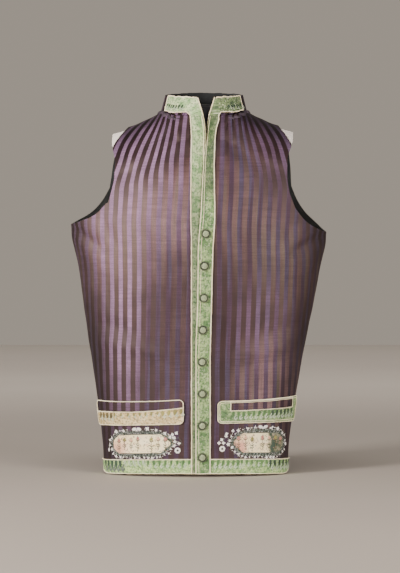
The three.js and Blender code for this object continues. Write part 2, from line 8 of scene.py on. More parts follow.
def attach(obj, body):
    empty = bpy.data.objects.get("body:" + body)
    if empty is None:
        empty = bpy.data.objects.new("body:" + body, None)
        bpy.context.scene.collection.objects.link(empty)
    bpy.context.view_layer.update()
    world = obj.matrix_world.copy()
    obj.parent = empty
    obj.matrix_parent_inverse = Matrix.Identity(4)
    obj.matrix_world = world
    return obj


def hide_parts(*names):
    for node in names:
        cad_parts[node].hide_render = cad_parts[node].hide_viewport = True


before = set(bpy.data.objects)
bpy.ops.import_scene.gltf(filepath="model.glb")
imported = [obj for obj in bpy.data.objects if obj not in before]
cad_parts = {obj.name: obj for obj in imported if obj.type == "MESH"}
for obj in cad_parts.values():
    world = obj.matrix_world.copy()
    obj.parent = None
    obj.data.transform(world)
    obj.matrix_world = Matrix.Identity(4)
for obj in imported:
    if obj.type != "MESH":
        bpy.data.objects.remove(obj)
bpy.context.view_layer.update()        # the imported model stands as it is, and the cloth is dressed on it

mm = 0.001
degrees = math.pi / 180
standAt = Vector((0.0, 3.217, 3.0))  # from the garment's own origin to the middle of the base, in millimetres


def linearColour(hexCode, alpha=1.0):
    # an sRGB hex colour as Blender's linear one
    parts = [int(hexCode[i:i + 2], 16) / 255 for i in (1, 3, 5)]
    flat = [p / 12.92 if p <= 0.04045 else ((p + 0.055) / 1.055) ** 2.4 for p in parts]
    return (*flat, alpha)


def linkPiece(name, data):
    piece = bpy.data.objects.new(name, data)
    bpy.context.scene.collection.objects.link(piece)
    return piece


# nodes

def giveInput(tree, node, key, value):
    # a socket is linked, a hex colour is made linear, and any other value is set as it is
    if isinstance(value, bpy.types.NodeSocket):
        tree.links.new(value, node.inputs[key])
        return
    isColour = isinstance(value, str) and value.startswith("#")
    node.inputs[key].default_value = linearColour(value) if isColour else value


def addNode(tree, kind, settings=None, feeds=None, out=0):
    # adds one node, sets its settings and its named or numbered inputs, and returns one of its outputs
    node = tree.nodes.new(kind)
    for key, value in (settings or {}).items():
        setattr(node, key, value)
    for key, value in (feeds or {}).items():
        giveInput(tree, node, key, value)
    return node.outputs[out]


nodeKinds = {  # short names: the node's type, its settings, the inputs in the order given, and its output
    "x": ("ShaderNodeSeparateXYZ", {}, [0], 0),
    "y": ("ShaderNodeSeparateXYZ", {}, [0], 1),
    "z": ("ShaderNodeSeparateXYZ", {}, [0], 2),
    "place": ("ShaderNodeTexCoord", {}, [], 3),
    "ramp": ("ShaderNodeMapRange", {"interpolation_type": "SMOOTHSTEP"}, range(5), 0),
    "stretch": ("ShaderNodeMapping", {}, ["Vector", "Scale"], 0),
    "noise": ("ShaderNodeTexNoise", {}, ["Vector", "Scale", "Detail", "Roughness"], 0),
    "points": ("ShaderNodeTexVoronoi", {"feature": "F1"}, ["Vector", "Scale"], 0),
    "mix": ("ShaderNodeMix", {"data_type": "RGBA", "blend_type": "MIX"}, [0, 6, 7], 2),
    "shade": ("ShaderNodeMix", {"data_type": "RGBA", "blend_type": "MULTIPLY"}, [0, 6, 7], 2),
}
sums = {
    "plus": "ADD", "minus": "SUBTRACT", "times": "MULTIPLY", "timesPlus": "MULTIPLY_ADD", "larger": "MAXIMUM",
    "unsigned": "ABSOLUTE", "sine": "SINE", "cosine": "COSINE",
}
for name, operation in sums.items():
    nodeKinds[name] = ("ShaderNodeMath", {"operation": operation}, range(3), 0)


def nodesOf(tree):
    # the short way to add a node, such as node("ramp", value, low, high), which goes smoothly from 0 to 1
    def node(name, *values):
        kind, settings, inputs, out = nodeKinds[name]
        return addNode(tree, kind, settings, dict(zip(inputs, values)), out)
    return node


def waveOf(tree, value, length, shape="sine"):
    node = nodesOf(tree)
    return node(shape, node("times", value, 2 * math.pi / length))


def layered(tree, colour, *coats):
    # each coat is (share, colour), laid over what is there
    node = nodesOf(tree)
    for share, coat in coats:
        colour = node("mix", share, colour, coat)
    return colour


def shaded(tree, colour, tone):
    # the colour made brighter or darker by one number
    node = nodesOf(tree)
    grey = addNode(tree, "ShaderNodeCombineColor", None, {0: tone, 1: tone, 2: tone})
    return node("shade", 1.0, colour, grey)


def clothPlaces(tree):
    # the cut's flat coordinates in metres, as one and as across and up, and the place on the object
    node = nodesOf(tree)
    flat = addNode(tree, "ShaderNodeUVMap", {"uv_map": "cut"})
    return flat, node("x", flat), node("y", flat), node("place")


def newMaterial(name):
    material = bpy.data.materials.new(name)
    material.use_nodes = True
    return material, material.node_tree


def finished(material, colour, relief=None, **values):
    # gives the shader its colour, its bump as (height, strength, distance), and its other inputs
    tree = material.node_tree
    shader = tree.nodes["Principled BSDF"]
    values["Base_Color"] = colour
    if relief:
        height, strength, distance = relief
        feeds = {"Height": height, "Strength": strength, "Distance": distance}
        values["Normal"] = addNode(tree, "ShaderNodeBump", None, feeds)
    for key, value in values.items():
        giveInput(tree, shader, key.replace("_", " "), value)
    return material


# materials

silk = {
    "repeat": 15.6, "stripeWidth": 7.3, "edge": 0.5,  # millimetres
    "lilac": "#937599", "lilacDull": "#39263d", "lilacGrey": "#403953", "satin": "#1c0b13",
    "satinWorn": "#301e21", "satinFadedAndSheen": "#614745", "satinPaintedSheen": "#86696d", "olive": "#5c5548",
    "gleam": "#f4dcd8", "frontTone": 0.8, "sideShadeTone": 0.3,  # the silk's tone in front, and the painted shade that darkens it towards the sides and back
    "sideShadeDepths": (-0.070, -0.026), "fadeAndSheenHeights": (0.28, 0.43, 0.43, 0.50), "fadeAndSheenRise": 0.05,  # metres
    "fadeAndSheenLean": 0.8, "fadeAndSheenMiddle": 0.045,  # the faded part, with its painted sheen, lies lower towards the sides
    # soft places in metres: x, z, half width, half height, share; the first two lists are painted sheen and
    # the last is painted shade
    "lilacSheenSpots": [
        (-0.119, 0.24, 0.042, 0.24, 1.2), (-0.132, 0.37, 0.085, 0.15, 1.0), (-0.074, 0.505, 0.13, 0.18, 1.0),
        (0.10, 0.22, 0.06, 0.11, 0.5), (0.125, 0.54, 0.07, 0.12, 0.5),
    ],
    "satinSheenSpots": [
        (-0.042, 0.395, 0.08, 0.105, 0.95), (0.09, 0.40, 0.09, 0.10, 0.2), (0.095, 0.135, 0.055, 0.10, 0.9),
        (0.130, 0.14, 0.05, 0.13, 1.2), (-0.155, 0.36, 0.04, 0.08, 0.8), (-0.03, 0.17, 0.045, 0.18, 0.3),
        (0.06, 0.48, 0.06, 0.06, 0.35),
    ],
    "paintedShadeSpots": [(-0.108, 0.508, 0.085, 0.078, 1.6), (0.135, 0.35, 0.08, 0.07, 0.45)],
}


def softSpots(tree, place, spots):
    # the sum of soft round places on the front, each 1 at its middle times its share and 0 at its edge
    node = nodesOf(tree)
    total = 0.0
    for x, z, wide, high, share in spots:
        near = {"Vector": place, "Location": (-x / wide, 0, -z / high), "Scale": (1 / wide, 0, 1 / high)}
        spot = addNode(tree, "ShaderNodeMapping", None, near)
        spot = addNode(tree, "ShaderNodeTexGradient", {"gradient_type": "SPHERICAL"}, {"Vector": spot}, out=1)
        total = node("timesPlus", spot, share, total)
    return total


def fadeAndSheenShare(tree, place, cloud):
    # the satin is faded over the chest and given a painted sheen there, and keeps its colour above and below
    node = nodesOf(tree)
    x, z = node("x", place), node("z", place)
    side = node("minus", node("unsigned", x), silk["fadeAndSheenMiddle"])
    level = node("timesPlus", side, silk["fadeAndSheenLean"], node("timesPlus", cloud, 0.10, z))
    low, lowFull, highFull, high = (height + silk["fadeAndSheenRise"] for height in silk["fadeAndSheenHeights"])
    above = node("ramp", level, low, lowFull, 0.0, 0.75)
    return node("times", above, node("ramp", level, highFull, high, 1.0, 0.0))


def stripedSilk(name):
    # pekin silk: matte lilac taffeta stripes between warp-satin ones, dark until they catch the light;
    # painted sheen lies on both in soft places, and painted shade darkens the shoulders and sides
    material, tree = newMaterial(name)
    node = nodesOf(tree)
    flat, across, _, place = clothPlaces(tree)
    sway = node("times", node("noise", flat, 9.0, 2.0, 0.5), 0.0016)
    frayed = node("times", node("noise", node("stretch", flat, (120, 900, 1)), 1.0, 1.0, 0.5), 0.0005)
    moved = node("plus", node("plus", across, sway), frayed)
    wave = waveOf(tree, moved, silk["repeat"] * mm, "cosine")
    border = math.cos(math.pi * silk["stripeWidth"] / silk["repeat"])
    soft = silk["edge"] / silk["repeat"] * 2 * math.pi
    stripe = node("ramp", wave, border - soft, border + soft)
    # bundles of warp threads, drawn wide enough to show
    warp = node("noise", node("stretch", flat, (620, 14, 1)), 1.0, 3.0, 0.6)
    slub = node("noise", node("stretch", flat, (22, 420, 1)), 1.0, 3.0, 0.65)  # thick places in the weft
    # neighbouring stripes have aged differently
    streak = node("noise", node("stretch", flat, (95, 5, 1)), 1.0, 2.0, 0.6)
    speck = node("noise", flat, 640.0, 2.0, 0.7)
    cloud = node("noise", place, 8.0, 4.0, 0.62)
    patch = node("noise", place, 31.0, 3.0, 0.6)
    fadedAndSheen = fadeAndSheenShare(tree, place, cloud)
    uneven = node("ramp", cloud, 0.32, 0.64, 0.65, 1.15)
    # painted sheen: the satin ground is paler in soft places on the front
    gleam = node("times", softSpots(tree, place, silk["satinSheenSpots"]), uneven)
    worn = node("timesPlus", node("ramp", warp, 0.35, 0.75), 0.45, node("ramp", cloud, 0.38, 0.66, 0.0, 0.75))
    # olive streaks, laid only over the fade and the painted sheen
    aged = node("times", node("ramp", streak, 0.46, 0.62, 0.0, 0.75), node("larger", fadedAndSheen, gleam))
    # the satin ground: worn and faded, then the painted sheen, then painted shade laid back in its own dark
    # colour
    ground = layered(
        tree, silk["satin"], (worn, silk["satinWorn"]), (fadedAndSheen, silk["satinFadedAndSheen"]),
        (gleam, silk["satinPaintedSheen"]), (softSpots(tree, place, silk["paintedShadeSpots"]), silk["satin"]),
        (aged, silk["olive"]), (node("ramp", streak, 0.50, 0.30, 0.0, 0.45), silk["satinWorn"]),
    )
    # painted sheen: the lilac stripes are brighter lilac in soft places on the front
    paintedLilacSheen = node("times", softSpots(tree, place, silk["lilacSheenSpots"]), uneven)
    greyed = node("ramp", streak, 0.42, 0.60)
    lilac = layered(tree, silk["lilacDull"], (greyed, silk["lilacGrey"]), (paintedLilacSheen, silk["lilac"]))
    thick = node("ramp", slub, 0.28, 0.72, 0.76, 1.18)
    grain = node("times", thick, node("ramp", speck, 0.25, 0.75, 0.78, 1.2))
    grain = node("times", grain, node("ramp", patch, 0.30, 0.70, 0.82, 1.14))
    # painted shade: the silk grows darker from the front towards the sides and back
    depth = node("y", place)
    grain = node("times", grain, node("ramp", depth, *silk["sideShadeDepths"], silk["frontTone"], silk["sideShadeTone"]))
    relief = node("timesPlus", stripe, 0.6, node("timesPlus", slub, 0.5, speck))
    return finished(
        material, shaded(tree, node("mix", stripe, ground, lilac), grain), (relief, 0.25, 0.0003),
        Roughness=node("timesPlus", warp, 0.10, node("timesPlus", stripe, 0.14, 0.48)),
        Tangent=addNode(tree, "ShaderNodeTangent", {"direction_type": "UV_MAP", "uv_map": "cut"}),
        IOR=1.55, Specular_IOR_Level=0.5, Anisotropic=0.4, Specular_Tint=silk["gleam"],
    )


def plainCloth(name, colour, dark, rough, thread=0.6):
    # a plain-woven cloth, with the small tone steps of its threads and a soft cloudiness from handling
    material, tree = newMaterial(name)
    node = nodesOf(tree)
    _, across, up, place = clothPlaces(tree)
    weave = node("times", waveOf(tree, across, thread * mm), waveOf(tree, up, thread * mm))
    share = node("timesPlus", weave, 0.12, node("ramp", node("noise", place, 18.0, 4.0, 0.6), 0.3, 0.7))
    return finished(
        material, node("mix", share, dark, colour), (weave, 0.3, 0.0003),
        Roughness=rough, Specular_IOR_Level=0.35, Sheen_Weight=0.15, Sheen_Roughness=0.5,
    )


ribbonLooks = {  # material; mid, pale, deep and speck colours; and for two of them painted light and shade that change with height:
    # from and to in metres on the object, and brightness above and below
    "green": ("figuredGreenRibbon", "#7ca662", "#b6d48e", "#4f7d47", "#3d6139", (0.41, 0.46, 0.34, 0.76)),
    # a lighter copy of the green ribbon, for painted light on the lit side
    "mint": ("figuredMintRibbon", "#a8d08e", "#e0f2bc", "#7cab6c", "#548450", (0.39, 0.50, 0.95, 0.41)),
    # a darker copy of the green ribbon, for painted shade on the collar band on the shaded side
    "dusk": ("figuredDullGreenRibbon", "#587048", "#7c9060", "#375338", "#283f28"),
    "cream": ("figuredCreamRibbon", "#d0b67e", "#e8d3a0", "#b09d66", "#6e6136"),
    "aged": ("figuredPaleGreenRibbon", "#86b066", "#bcd68e", "#629152", "#456e3e"),
}


def wovenRibbon(name, mid, pale, deep, speck, shade=None):
    # figured silk ribbon: a mottled ground broken by small dark and pale woven points, ribbed across
    material, tree = newMaterial(name)
    node = nodesOf(tree)
    flat, _, up, place = clothPlaces(tree)
    patch = node("noise", flat, 75.0, 4.0, 0.65)
    drift = node("noise", place, 26.0, 3.0, 0.55)
    strokes = node("noise", node("stretch", flat, (300, 230, 1)), 1.0, 2.0, 0.65)
    worn = node("times", node("ramp", drift, 0.42, 0.66, 0.0, 0.8), node("ramp", patch, 0.45, 0.62, 1.0, 0.2))
    colour = layered(
        tree, mid, (node("ramp", patch, 0.40, 0.56), pale), (worn, deep),
        (node("ramp", strokes, 0.50, 0.60, 0.0, 0.75), speck),
        (node("ramp", node("points", flat, 330.0), 0.16, 0.40, 0.45, 0.0), "#f2f6d8"),
    )
    # painted light and shade: the ribbon made lighter or darker above and below a height
    if shade:
        low, high, above, below = shade
        colour = shaded(tree, colour, node("ramp", node("z", place), low, high, below, above))
    relief = node("timesPlus", strokes, 1.4, waveOf(tree, up, 0.9 * mm))
    return finished(
        material, colour, (relief, 0.45, 0.0004),
        Roughness=0.58, Specular_IOR_Level=0.5, Sheen_Weight=0.1, Sheen_Roughness=0.45,
    )


def threadMaterial(name, colour, second, rough, sheen):
    # silk embroidery or covered cord: fine twisted thread, lighter and darker in small and larger places at
    # random
    material, tree = newMaterial(name)
    node = nodesOf(tree)
    place = node("place")
    age = node("ramp", node("noise", place, 30.0, 3.0, 0.6), 0.35, 0.7)
    share = node("timesPlus", node("noise", place, 260.0, 2.0, 0.6), 0.6, node("times", age, 0.6))
    return finished(
        material, node("mix", share, colour, second), (node("noise", place, 1500.0, 1.0, 0.55), 0.3, 0.0003),
        Roughness=rough, Specular_IOR_Level=0.45, Sheen_Weight=sheen,
    )


satins = {
    "ground": "#fff4cc", "deepCream": "#fcebb8", "brown": "#7a6440", "red": "#c8786a", "fleck": "#5f6044",
    "blush": "#e09a86", "green": "#2f4636", "plainEnd": (-0.034, -0.042, 0.0, 0.75),  # metres across
    "ragged": 0.034,  # how far the green place's edge wanders
}


def embroideredSatin(name, blush, leafy=None):
    # cream satin closely worked in small mixed stitches, with a blush and perhaps a green place across it
    material, tree = newMaterial(name)
    node = nodesOf(tree)
    flat, across, up, _ = clothPlaces(tree)
    stitches = node("noise", node("stretch", flat, (210, 150, 1)), 1.0, 2.0, 0.7)
    cross = node("noise", node("stretch", flat, (130, 210, 1)), 1.0, 2.0, 0.7)
    patch = node("noise", flat, 60.0, 3.0, 0.6)
    foot = node("ramp", up, 0.008, -0.004, 0.3, 1.0)
    colour = layered(
        tree, satins["ground"], (node("ramp", patch, 0.35, 0.65), satins["deepCream"]),
        (node("ramp", stitches, 0.58, 0.66, 0.0, 0.8), satins["brown"]),
        (node("ramp", cross, 0.60, 0.70, 0.0, 0.6), satins["red"]),
        (node("ramp", node("points", flat, 270.0), 0.10, 0.26, 0.9, 0.0), satins["fleck"]),
        (node("times", node("ramp", across, *blush), foot), satins["blush"]),
    )
    if leafy:
        ragged = node("timesPlus", patch, satins["ragged"], node("plus", across, -satins["ragged"] / 2))
        ends = node("larger", node("ramp", ragged, *leafy), node("ramp", ragged, *satins["plainEnd"]))
        tint = node("times", ends, node("ramp", patch, 0.30, 0.60, 0.65, 1.0))
        colour = node("mix", tint, colour, satins["green"])
    return finished(
        material, colour, (stitches, 0.5, 0.0004), Roughness=0.5, Specular_IOR_Level=0.45, Sheen_Weight=0.2,
    )


buttonLook = {  # radii in metres between which one colour gives way to the next
    # the hollow, outer ring and edge colours are painted shade
    "crown": ("#6f8458", "#cfdcb4"), "rim": ("#2f3f26", "#5c7048"), "grooveShade": "#18200f", "edge": "#1f2a17",
    "grooveAt": (0.0042, 0.0050), "rimAt": (0.0056, 0.0062), "edgeAt": (0.0069, 0.0075),
    "spokes": 8, "spiral": 900.0, "rings": 0.0019,
}


def buttonCloth(name):
    # green silk worked over a wooden mould: a pale basket-woven crown, with painted shade in the hollow round
    # it, on the outer ring and on the edge
    look = buttonLook
    material, tree = newMaterial(name)
    node = nodesOf(tree)
    _, turn, radius, place = clothPlaces(tree)
    spokes = node("timesPlus", turn, look["spokes"] * 2 * math.pi, node("times", radius, look["spiral"]))
    weave = node("times", node("sine", spokes), waveOf(tree, radius, look["rings"]))
    rim = node("mix", node("ramp", node("noise", place, 160.0, 3.0, 0.55), 0.35, 0.65), *look["rim"])
    colour = layered(
        tree, node("mix", node("ramp", weave, -0.7, 0.8), *look["crown"]),
        (node("ramp", radius, *look["grooveAt"]), look["grooveShade"]),
        (node("ramp", radius, *look["rimAt"]), rim),
        (node("ramp", radius, *look["edgeAt"]), look["edge"]),
    )
    return finished(
        material, colour, (weave, 0.8, 0.0006), Roughness=0.5, Specular_IOR_Level=0.5, Sheen_Weight=0.2,
    )


def formJersey(name):
    # pale cotton jersey stretched over a padded torso: matte, faintly knitted
    material, tree = newMaterial(name)
    node = nodesOf(tree)
    place = node("place")
    cloud = node("ramp", node("noise", place, 12.0, 3.0, 0.55), 0.35, 0.65)
    colour = node("mix", cloud, "#f8f0e6", "#fffaf2")
    knit = node("noise", node("stretch", place, (900, 900, 450)), 1.0, 1.0, 0.5)
    return finished(
        material, colour, (knit, 0.3, 0.0004), Roughness=0.85, Specular_IOR_Level=0.3, Sheen_Weight=0.2,
    )


threadLooks = {  # material, deep and pale colour, roughness, sheen
    "cord": ("creamSilkCord", "#eee0b4", "#fffadc", 0.55, 0.3),
    "seam": ("dullPurpleBinding", "#2f2531", "#4a3d4b", 0.6, 0.05),
    "whiteThread": ("silverWhiteThread", "#efebe6", "#ffffff", 0.35, 0.2),
    "greenThread": ("darkGreenThread", "#14281b", "#36533c", 0.5, 0.1),
    "leafThread": ("leafGreenThread", "#2f5430", "#5d8648", 0.5, 0.15),
    "mintThread": ("paleMintThread", "#9fb39a", "#d5dfc9", 0.5, 0.3),
    "greyThread": ("dullGreyGreenThread", "#333d37", "#6f7b72", 0.5, 0.3),
    "strawThread": ("strawThread", "#6b6636", "#a09a55", 0.5, 0.15),
    "pinkThread": ("pinkThread", "#a8625a", "#d2968a", 0.5, 0.3),
    "peachThread": ("peachThread", "#d9a283", "#f0c9ae", 0.5, 0.3),
    "brownThread": ("oliveBrownThread", "#3f3a24", "#71673f", 0.5, 0.1),
}
finishes = {key: threadMaterial(*look) for key, look in threadLooks.items()}
finishes |= {key: wovenRibbon(*look) for key, look in ribbonLooks.items()}
finishes |= {
    "silk": stripedSilk("pekinStripedSilk"),
    # black felt of the form's neck cap, dark so that it also stands for the shade inside the collar: painted
    # shade
    "lining": plainCloth("darkLinenLining", "#23282a", "#101314", 0.75),
    "backCloth": plainCloth("darkGlazedCotton", "#33322f", "#1b1c1a", 0.6),
    "blackCloth": plainCloth("blackFeltNeckShade", "#26262b", "#131317", 0.95),
    "satinRight": embroideredSatin("workedBlushSatin", (-0.010, -0.040, 0.0, 0.7)),
    "satinLeft": embroideredSatin("workedLeafySatin", (-0.018, -0.030, 0.0, 0.9), (0.012, 0.022)),
    "button": buttonCloth("workedGreenButtonSilk"),
    "form": formJersey("paleCottonJersey"),
}
print("materials made:", len(finishes))


# the body surface that all the cloth follows, in millimetres

def smoothCurve(xs, ys):
    # a smooth line through the points, level beyond its ends and never past its own values
    last = len(xs) - 1
    slopes = [(ys[i + 1] - ys[i]) / (xs[i + 1] - xs[i]) for i in range(last)]
    bends = [slopes[0]]
    for a, b in zip(slopes, slopes[1:]):
        bends.append(0.0 if a * b <= 0 else 2 * a * b / (a + b))
    bends.append(slopes[-1])

    def at(x):
        if x <= xs[0]:
            return ys[0]
        if x >= xs[last]:
            return ys[last]
        i = bisect.bisect_right(xs, x) - 1
        step = xs[i + 1] - xs[i]
        t = (x - xs[i]) / step
        t2 = t * t
        t3 = t2 * t
        start = (2 * t3 - 3 * t2 + 1) * ys[i] + (t3 - 2 * t2 + t) * step * bends[i]
        return start + (3 * t2 - 2 * t3) * ys[i + 1] + (t3 - t2) * step * bends[i + 1]

    return at


def curvesOf(table, key):
    return {name: smoothCurve(table[key], values) for name, values in table.items() if name != key}


sections = curvesOf({  # level sections from hem to neck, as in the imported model
    "z": [2, 45, 110, 180, 250, 320, 385, 406, 440, 485, 525, 565, 610],
    "half": [144, 146, 155, 166, 178.5, 190, 202, 203.2, 205, 208, 212, 212, 212],
    "front": [74, 76, 79, 84, 90, 97, 102, 101.4, 100, 92, 74, 74, 74],
    "back": [80, 81, 82, 84, 92, 100, 104, 103.4, 102, 94, 85, 85, 85],
    "lean": [-4, -4, -3, -2.4, -0.4, 0.8, 0, 1, 3, 4.3, 6.4, 8.5, 9],
    "tilt": [0, 0.009, 0.027, 0.014, 0, -0.015, -0.03, -0.012, 0, 0.025, 0.012, 0.01, 0],
    "dip": [4, 4.5, 0, 0, 0, 0, 0, 0, 0, 0, 0, 0, 0],
}, "z")
ridge = smoothCurve(
    [0, 12, 35, 50, 62, 70, 80, 92, 106, 120, 143, 215],
    [603, 601, 592, 583, 573, 567, 561, 555.8, 549.3, 545, 541, 541],
)
shoulder = {"rollHeight": 75, "ridgeY": 8}
openings = {
    "right": curvesOf({
        "up": [2, 349, 405, 437, 471, 500, 524, 543, 570],
        "edge": [12, 12, 12, 11.5, 10.5, 9, 9.4, 8.5, 4],
        "inner": [-10.5, -10.5, -11.5, -11.5, -11, -11, -10.5, -11.5, -14],
        "back": [0, 0, 5, 9, 12, 12, 11, 10, 10],
    }, "up"),
    "left": curvesOf({
        "up": [2, 180, 271, 349, 405, 437, 471, 500, 524, 543, 570],
        "edge": [-3.8, -3.8, -1, 0, 4.5, 6.4, 8.7, 11, 14.3, 15.5, 20],
        "inner": [17.7, 17.7, 19.8, 22, 24.8, 24.2, 23.8, 24.5, 25.8, 29, 34.5],
        "back": [0, 0, 0, 0, 3, 6, 9, 12, 15, 15, 14],
    }, "up"),
}
frontCut = {
    "columns": [0, 0.05, 0.12, 0.18, 0.24, 0.3, 0.35, 0.395, 0.44, 0.52, 0.6, 0.68, 0.77, 0.88, 1],
    "underarm": ([143.5, 157, 170, 188, 203], [421, 405, 395, 387.5, 384]),
    "armholeX": [143.5, 136.8, 133.4, 133.4, 138.6, 135.6, 128.6, 119.8, 115],
    "armholeUp": [421, 441, 463, 487, 512, 524, 542, 570, 612],
    "topX": [24, 38, 49, 60, 66.5, 69.5, 83, 98.5, 115],
    "topRoll": [28, 34, 42, 62, 84, 105, 105, 105, 105],
}
backCut = {
    "columns": [0, 0.08, 0.16, 0.24, 0.31, 0.38, 0.44, 0.49, 0.54, 0.62, 0.71, 0.8, 0.9, 1],
    "underarm": ([147, 157.5, 172, 190, 203], [453, 431, 411.5, 396, 384]),
    "armholeX": [148.5, 145.5, 142.5, 137.8, 129, 115],
    "armholeUp": [453, 472, 492, 515, 538, 561],
    "topX": [0, 18, 35, 50, 61, 69.5, 83, 98.5, 115],
    "topRoll": [43, 46, 52, 58.5, 66, 74.2, 74.2, 74.2, 74.2],
}
heights = {"hem": 3, "hemBand": 25, "chest": 340}
longColumns = 8  # the columns that go on past the armhole's foot
rollShare = 200  # nominal height of the stretch from the armhole's foot to the shoulder
rollEdge = 80  # degrees round the body past which the cloth no longer rolls over the shoulder
seamAngle = {"front": 95, "back": 84.6}  # from the middle of the front and of the back
lapLift = smoothCurve([-1, 0, 1, 2], [3.8, 3.04, 1.14, 0])


def between(a, b, t):
    return a + (b - a) * t


def clamp(value):
    return min(1.0, max(0.0, value))


def steps(a, b, count):
    return [between(a, b, i / count) for i in range(count + 1)]


def makePanel(name, side, isBack):
    cut = backCut if isBack else frontCut
    indices = list(range(len(cut["columns"])))
    footUp = cut["underarm"][1][0]
    panel = {
        "name": name, "side": side, "isBack": isBack, "cut": cut, "laps": side > 0 and not isBack,
        "reversed": (side < 0) != isBack, "opening": None if isBack else openings[name],
        "seam": seamAngle["back" if isBack else "front"], "footUp": footUp, "topRow": footUp + rollShare,
        "share": smoothCurve(indices, cut["columns"]), "underarm": smoothCurve(*cut["underarm"]),
        "topX": smoothCurve(indices[:9], cut["topX"]), "topRoll": smoothCurve(indices[:9], cut["topRoll"]),
    }
    armX = [footX(panel, longColumns), *cut["armholeX"][1:]]
    armUp = [*cut["armholeUp"][:-1], topPlace(panel, longColumns)[1]]
    ts = steps(0, 1, len(armX) - 1)
    panel["armX"] = smoothCurve(ts, armX)
    panel["armUp"] = smoothCurve(ts, armUp)
    return panel


def angleAt(x, up):
    return math.asin(max(-1.0, min(1.0, x / sections["half"](up)))) / degrees


def rollAt(x):
    # where the roll over the shoulder starts at this width, and its depths before and behind the ridge
    start = ridge(abs(x)) - shoulder["rollHeight"]
    flat = math.sqrt(max(0.0, 1 - (x / sections["half"](start)) ** 2))
    front = sections["front"](start) * flat + shoulder["ridgeY"]
    return start, front, sections["back"](start) * flat - shoulder["ridgeY"]


def quarter(depth):
    return math.pi / 2 * math.sqrt((shoulder["rollHeight"] ** 2 + depth ** 2) / 2)


def upAtRoll(x, roll, isBack):
    start, front, back = rollAt(x)
    return start + quarter(back if isBack else front) * roll / 90


def bodyPoint(panel, angle, up):
    x = sections["half"](up) * math.sin(angle * degrees)
    start, front, back = rollAt(x)
    isBack = panel["isBack"]
    if up <= start or angle > rollEdge:
        forward = math.cos(angle * degrees) * (-1 if isBack else 1)
        depth = sections["front" if forward > 0 else "back"](up)
        return hung(panel["side"] * x, -forward * depth, up)
    roll = (up - start) / quarter(back if isBack else front) * 90 * degrees
    bend = math.pi - roll if isBack else roll
    depth = front if math.cos(bend) > 0 else back
    z = start + shoulder["rollHeight"] * math.sin(bend)
    return hung(panel["side"] * x, shoulder["ridgeY"] - math.cos(bend) * depth, z)


def hung(x, y, z):
    # leans, tilts and dips at the sides the way the whole garment hangs
    dip = sections["dip"](z) * (x / sections["half"](z)) ** 2
    return Vector((x + sections["lean"](z), y, z + sections["tilt"](z) * x - dip))


def openingX(panel, line, up):
    return panel["side"] * (panel["opening"][line](up) - sections["lean"](up))


def startX(panel, up):
    return openingX(panel, "inner", up) if panel["opening"] else 0.0


def columnAngle(panel, column, up):
    first = angleAt(startX(panel, up), up)
    if column < 0:  # on the front ribbon
        edge = angleAt(openingX(panel, "edge", up), up)
        return between(first, edge, -column)
    return between(first, panel["seam"], panel["share"](column))


def footX(panel, column):
    up = panel["footUp"]
    return sections["half"](up) * math.sin(columnAngle(panel, column, up) * degrees)


def topPlace(panel, column):
    x = panel["topX"](column)
    up = upAtRoll(x, panel["topRoll"](column), panel["isBack"])
    if column <= 0:
        x = startX(panel, up)
    return x, up


def underarmUp(panel, column):
    up = panel["footUp"]
    if column <= longColumns:
        return up
    for n in range(5):
        x = sections["half"](up) * math.sin(columnAngle(panel, column, up) * degrees)
        up = panel["underarm"](x)
    return up


def placeOf(panel, column, row):
    # angle and height on the body of a place on the cloth. Rows are heights up to the chest, then nominal.
    chest = heights["chest"]
    if row <= chest:
        return columnAngle(panel, column, row), row
    if row <= panel["footUp"] + 1e-6:
        up = between(chest, underarmUp(panel, column), (row - chest) / (panel["footUp"] - chest))
        return columnAngle(panel, column, up), up
    t = clamp((row - panel["footUp"]) / rollShare)
    c = max(0.0, column)
    s = panel["share"](c) / panel["share"](longColumns)
    innerUp = between(panel["footUp"], topPlace(panel, 0)[1], t)
    if column < 0:
        return columnAngle(panel, column, innerUp), innerUp
    inner = (startX(panel, innerUp), innerUp)
    outer = (panel["armX"](t), panel["armUp"](t))
    foot = (footX(panel, c), panel["footUp"])
    top = topPlace(panel, c)
    ends = [(footX(panel, k), panel["footUp"]) for k in (0, longColumns)]
    tops = [topPlace(panel, k) for k in (0, longColumns)]
    x, up = (
        between(inner[k], outer[k], s) + between(foot[k], top[k], t)
        - between(between(ends[0][k], ends[1][k], s), between(tops[0][k], tops[1][k], s), t)
        for k in (0, 1)
    )
    return angleAt(x, up), up


def flatPlace(panel, angle, up):
    # the same place on the flat cut: across from the middle line and up, in millimetres
    x = sections["half"](up) * math.sin(max(0.0, angle) * degrees)
    start = ridge(abs(x)) - shoulder["rollHeight"]
    rolls = angle <= rollEdge
    level = min(up, start) if rolls else up
    half = sections["half"](level)
    depth = sections["back" if panel["isBack"] else "front"](level)
    turn = angle * degrees / arcSteps
    across = 0.0
    for i in range(arcSteps):
        a = turn * (i + 0.5)
        across += turn * math.hypot(half * math.cos(a), depth * math.sin(a))
    over = max(0.0, up - level)
    high = max(0.0, up - start + cloth["leanFrom"]) if rolls else 0.0
    outward = clamp((abs(x) - cloth["leanInner"]) / cloth["leanWide"])
    lean = cloth["grainLean"] * high ** 2 / (high + cloth["leanEase"]) * outward ** 2 * (3 - 2 * outward)
    slope = (ridge(abs(x)) - ridge(abs(x) + 2)) / 2
    return across + lean, level + over / math.hypot(1, slope)


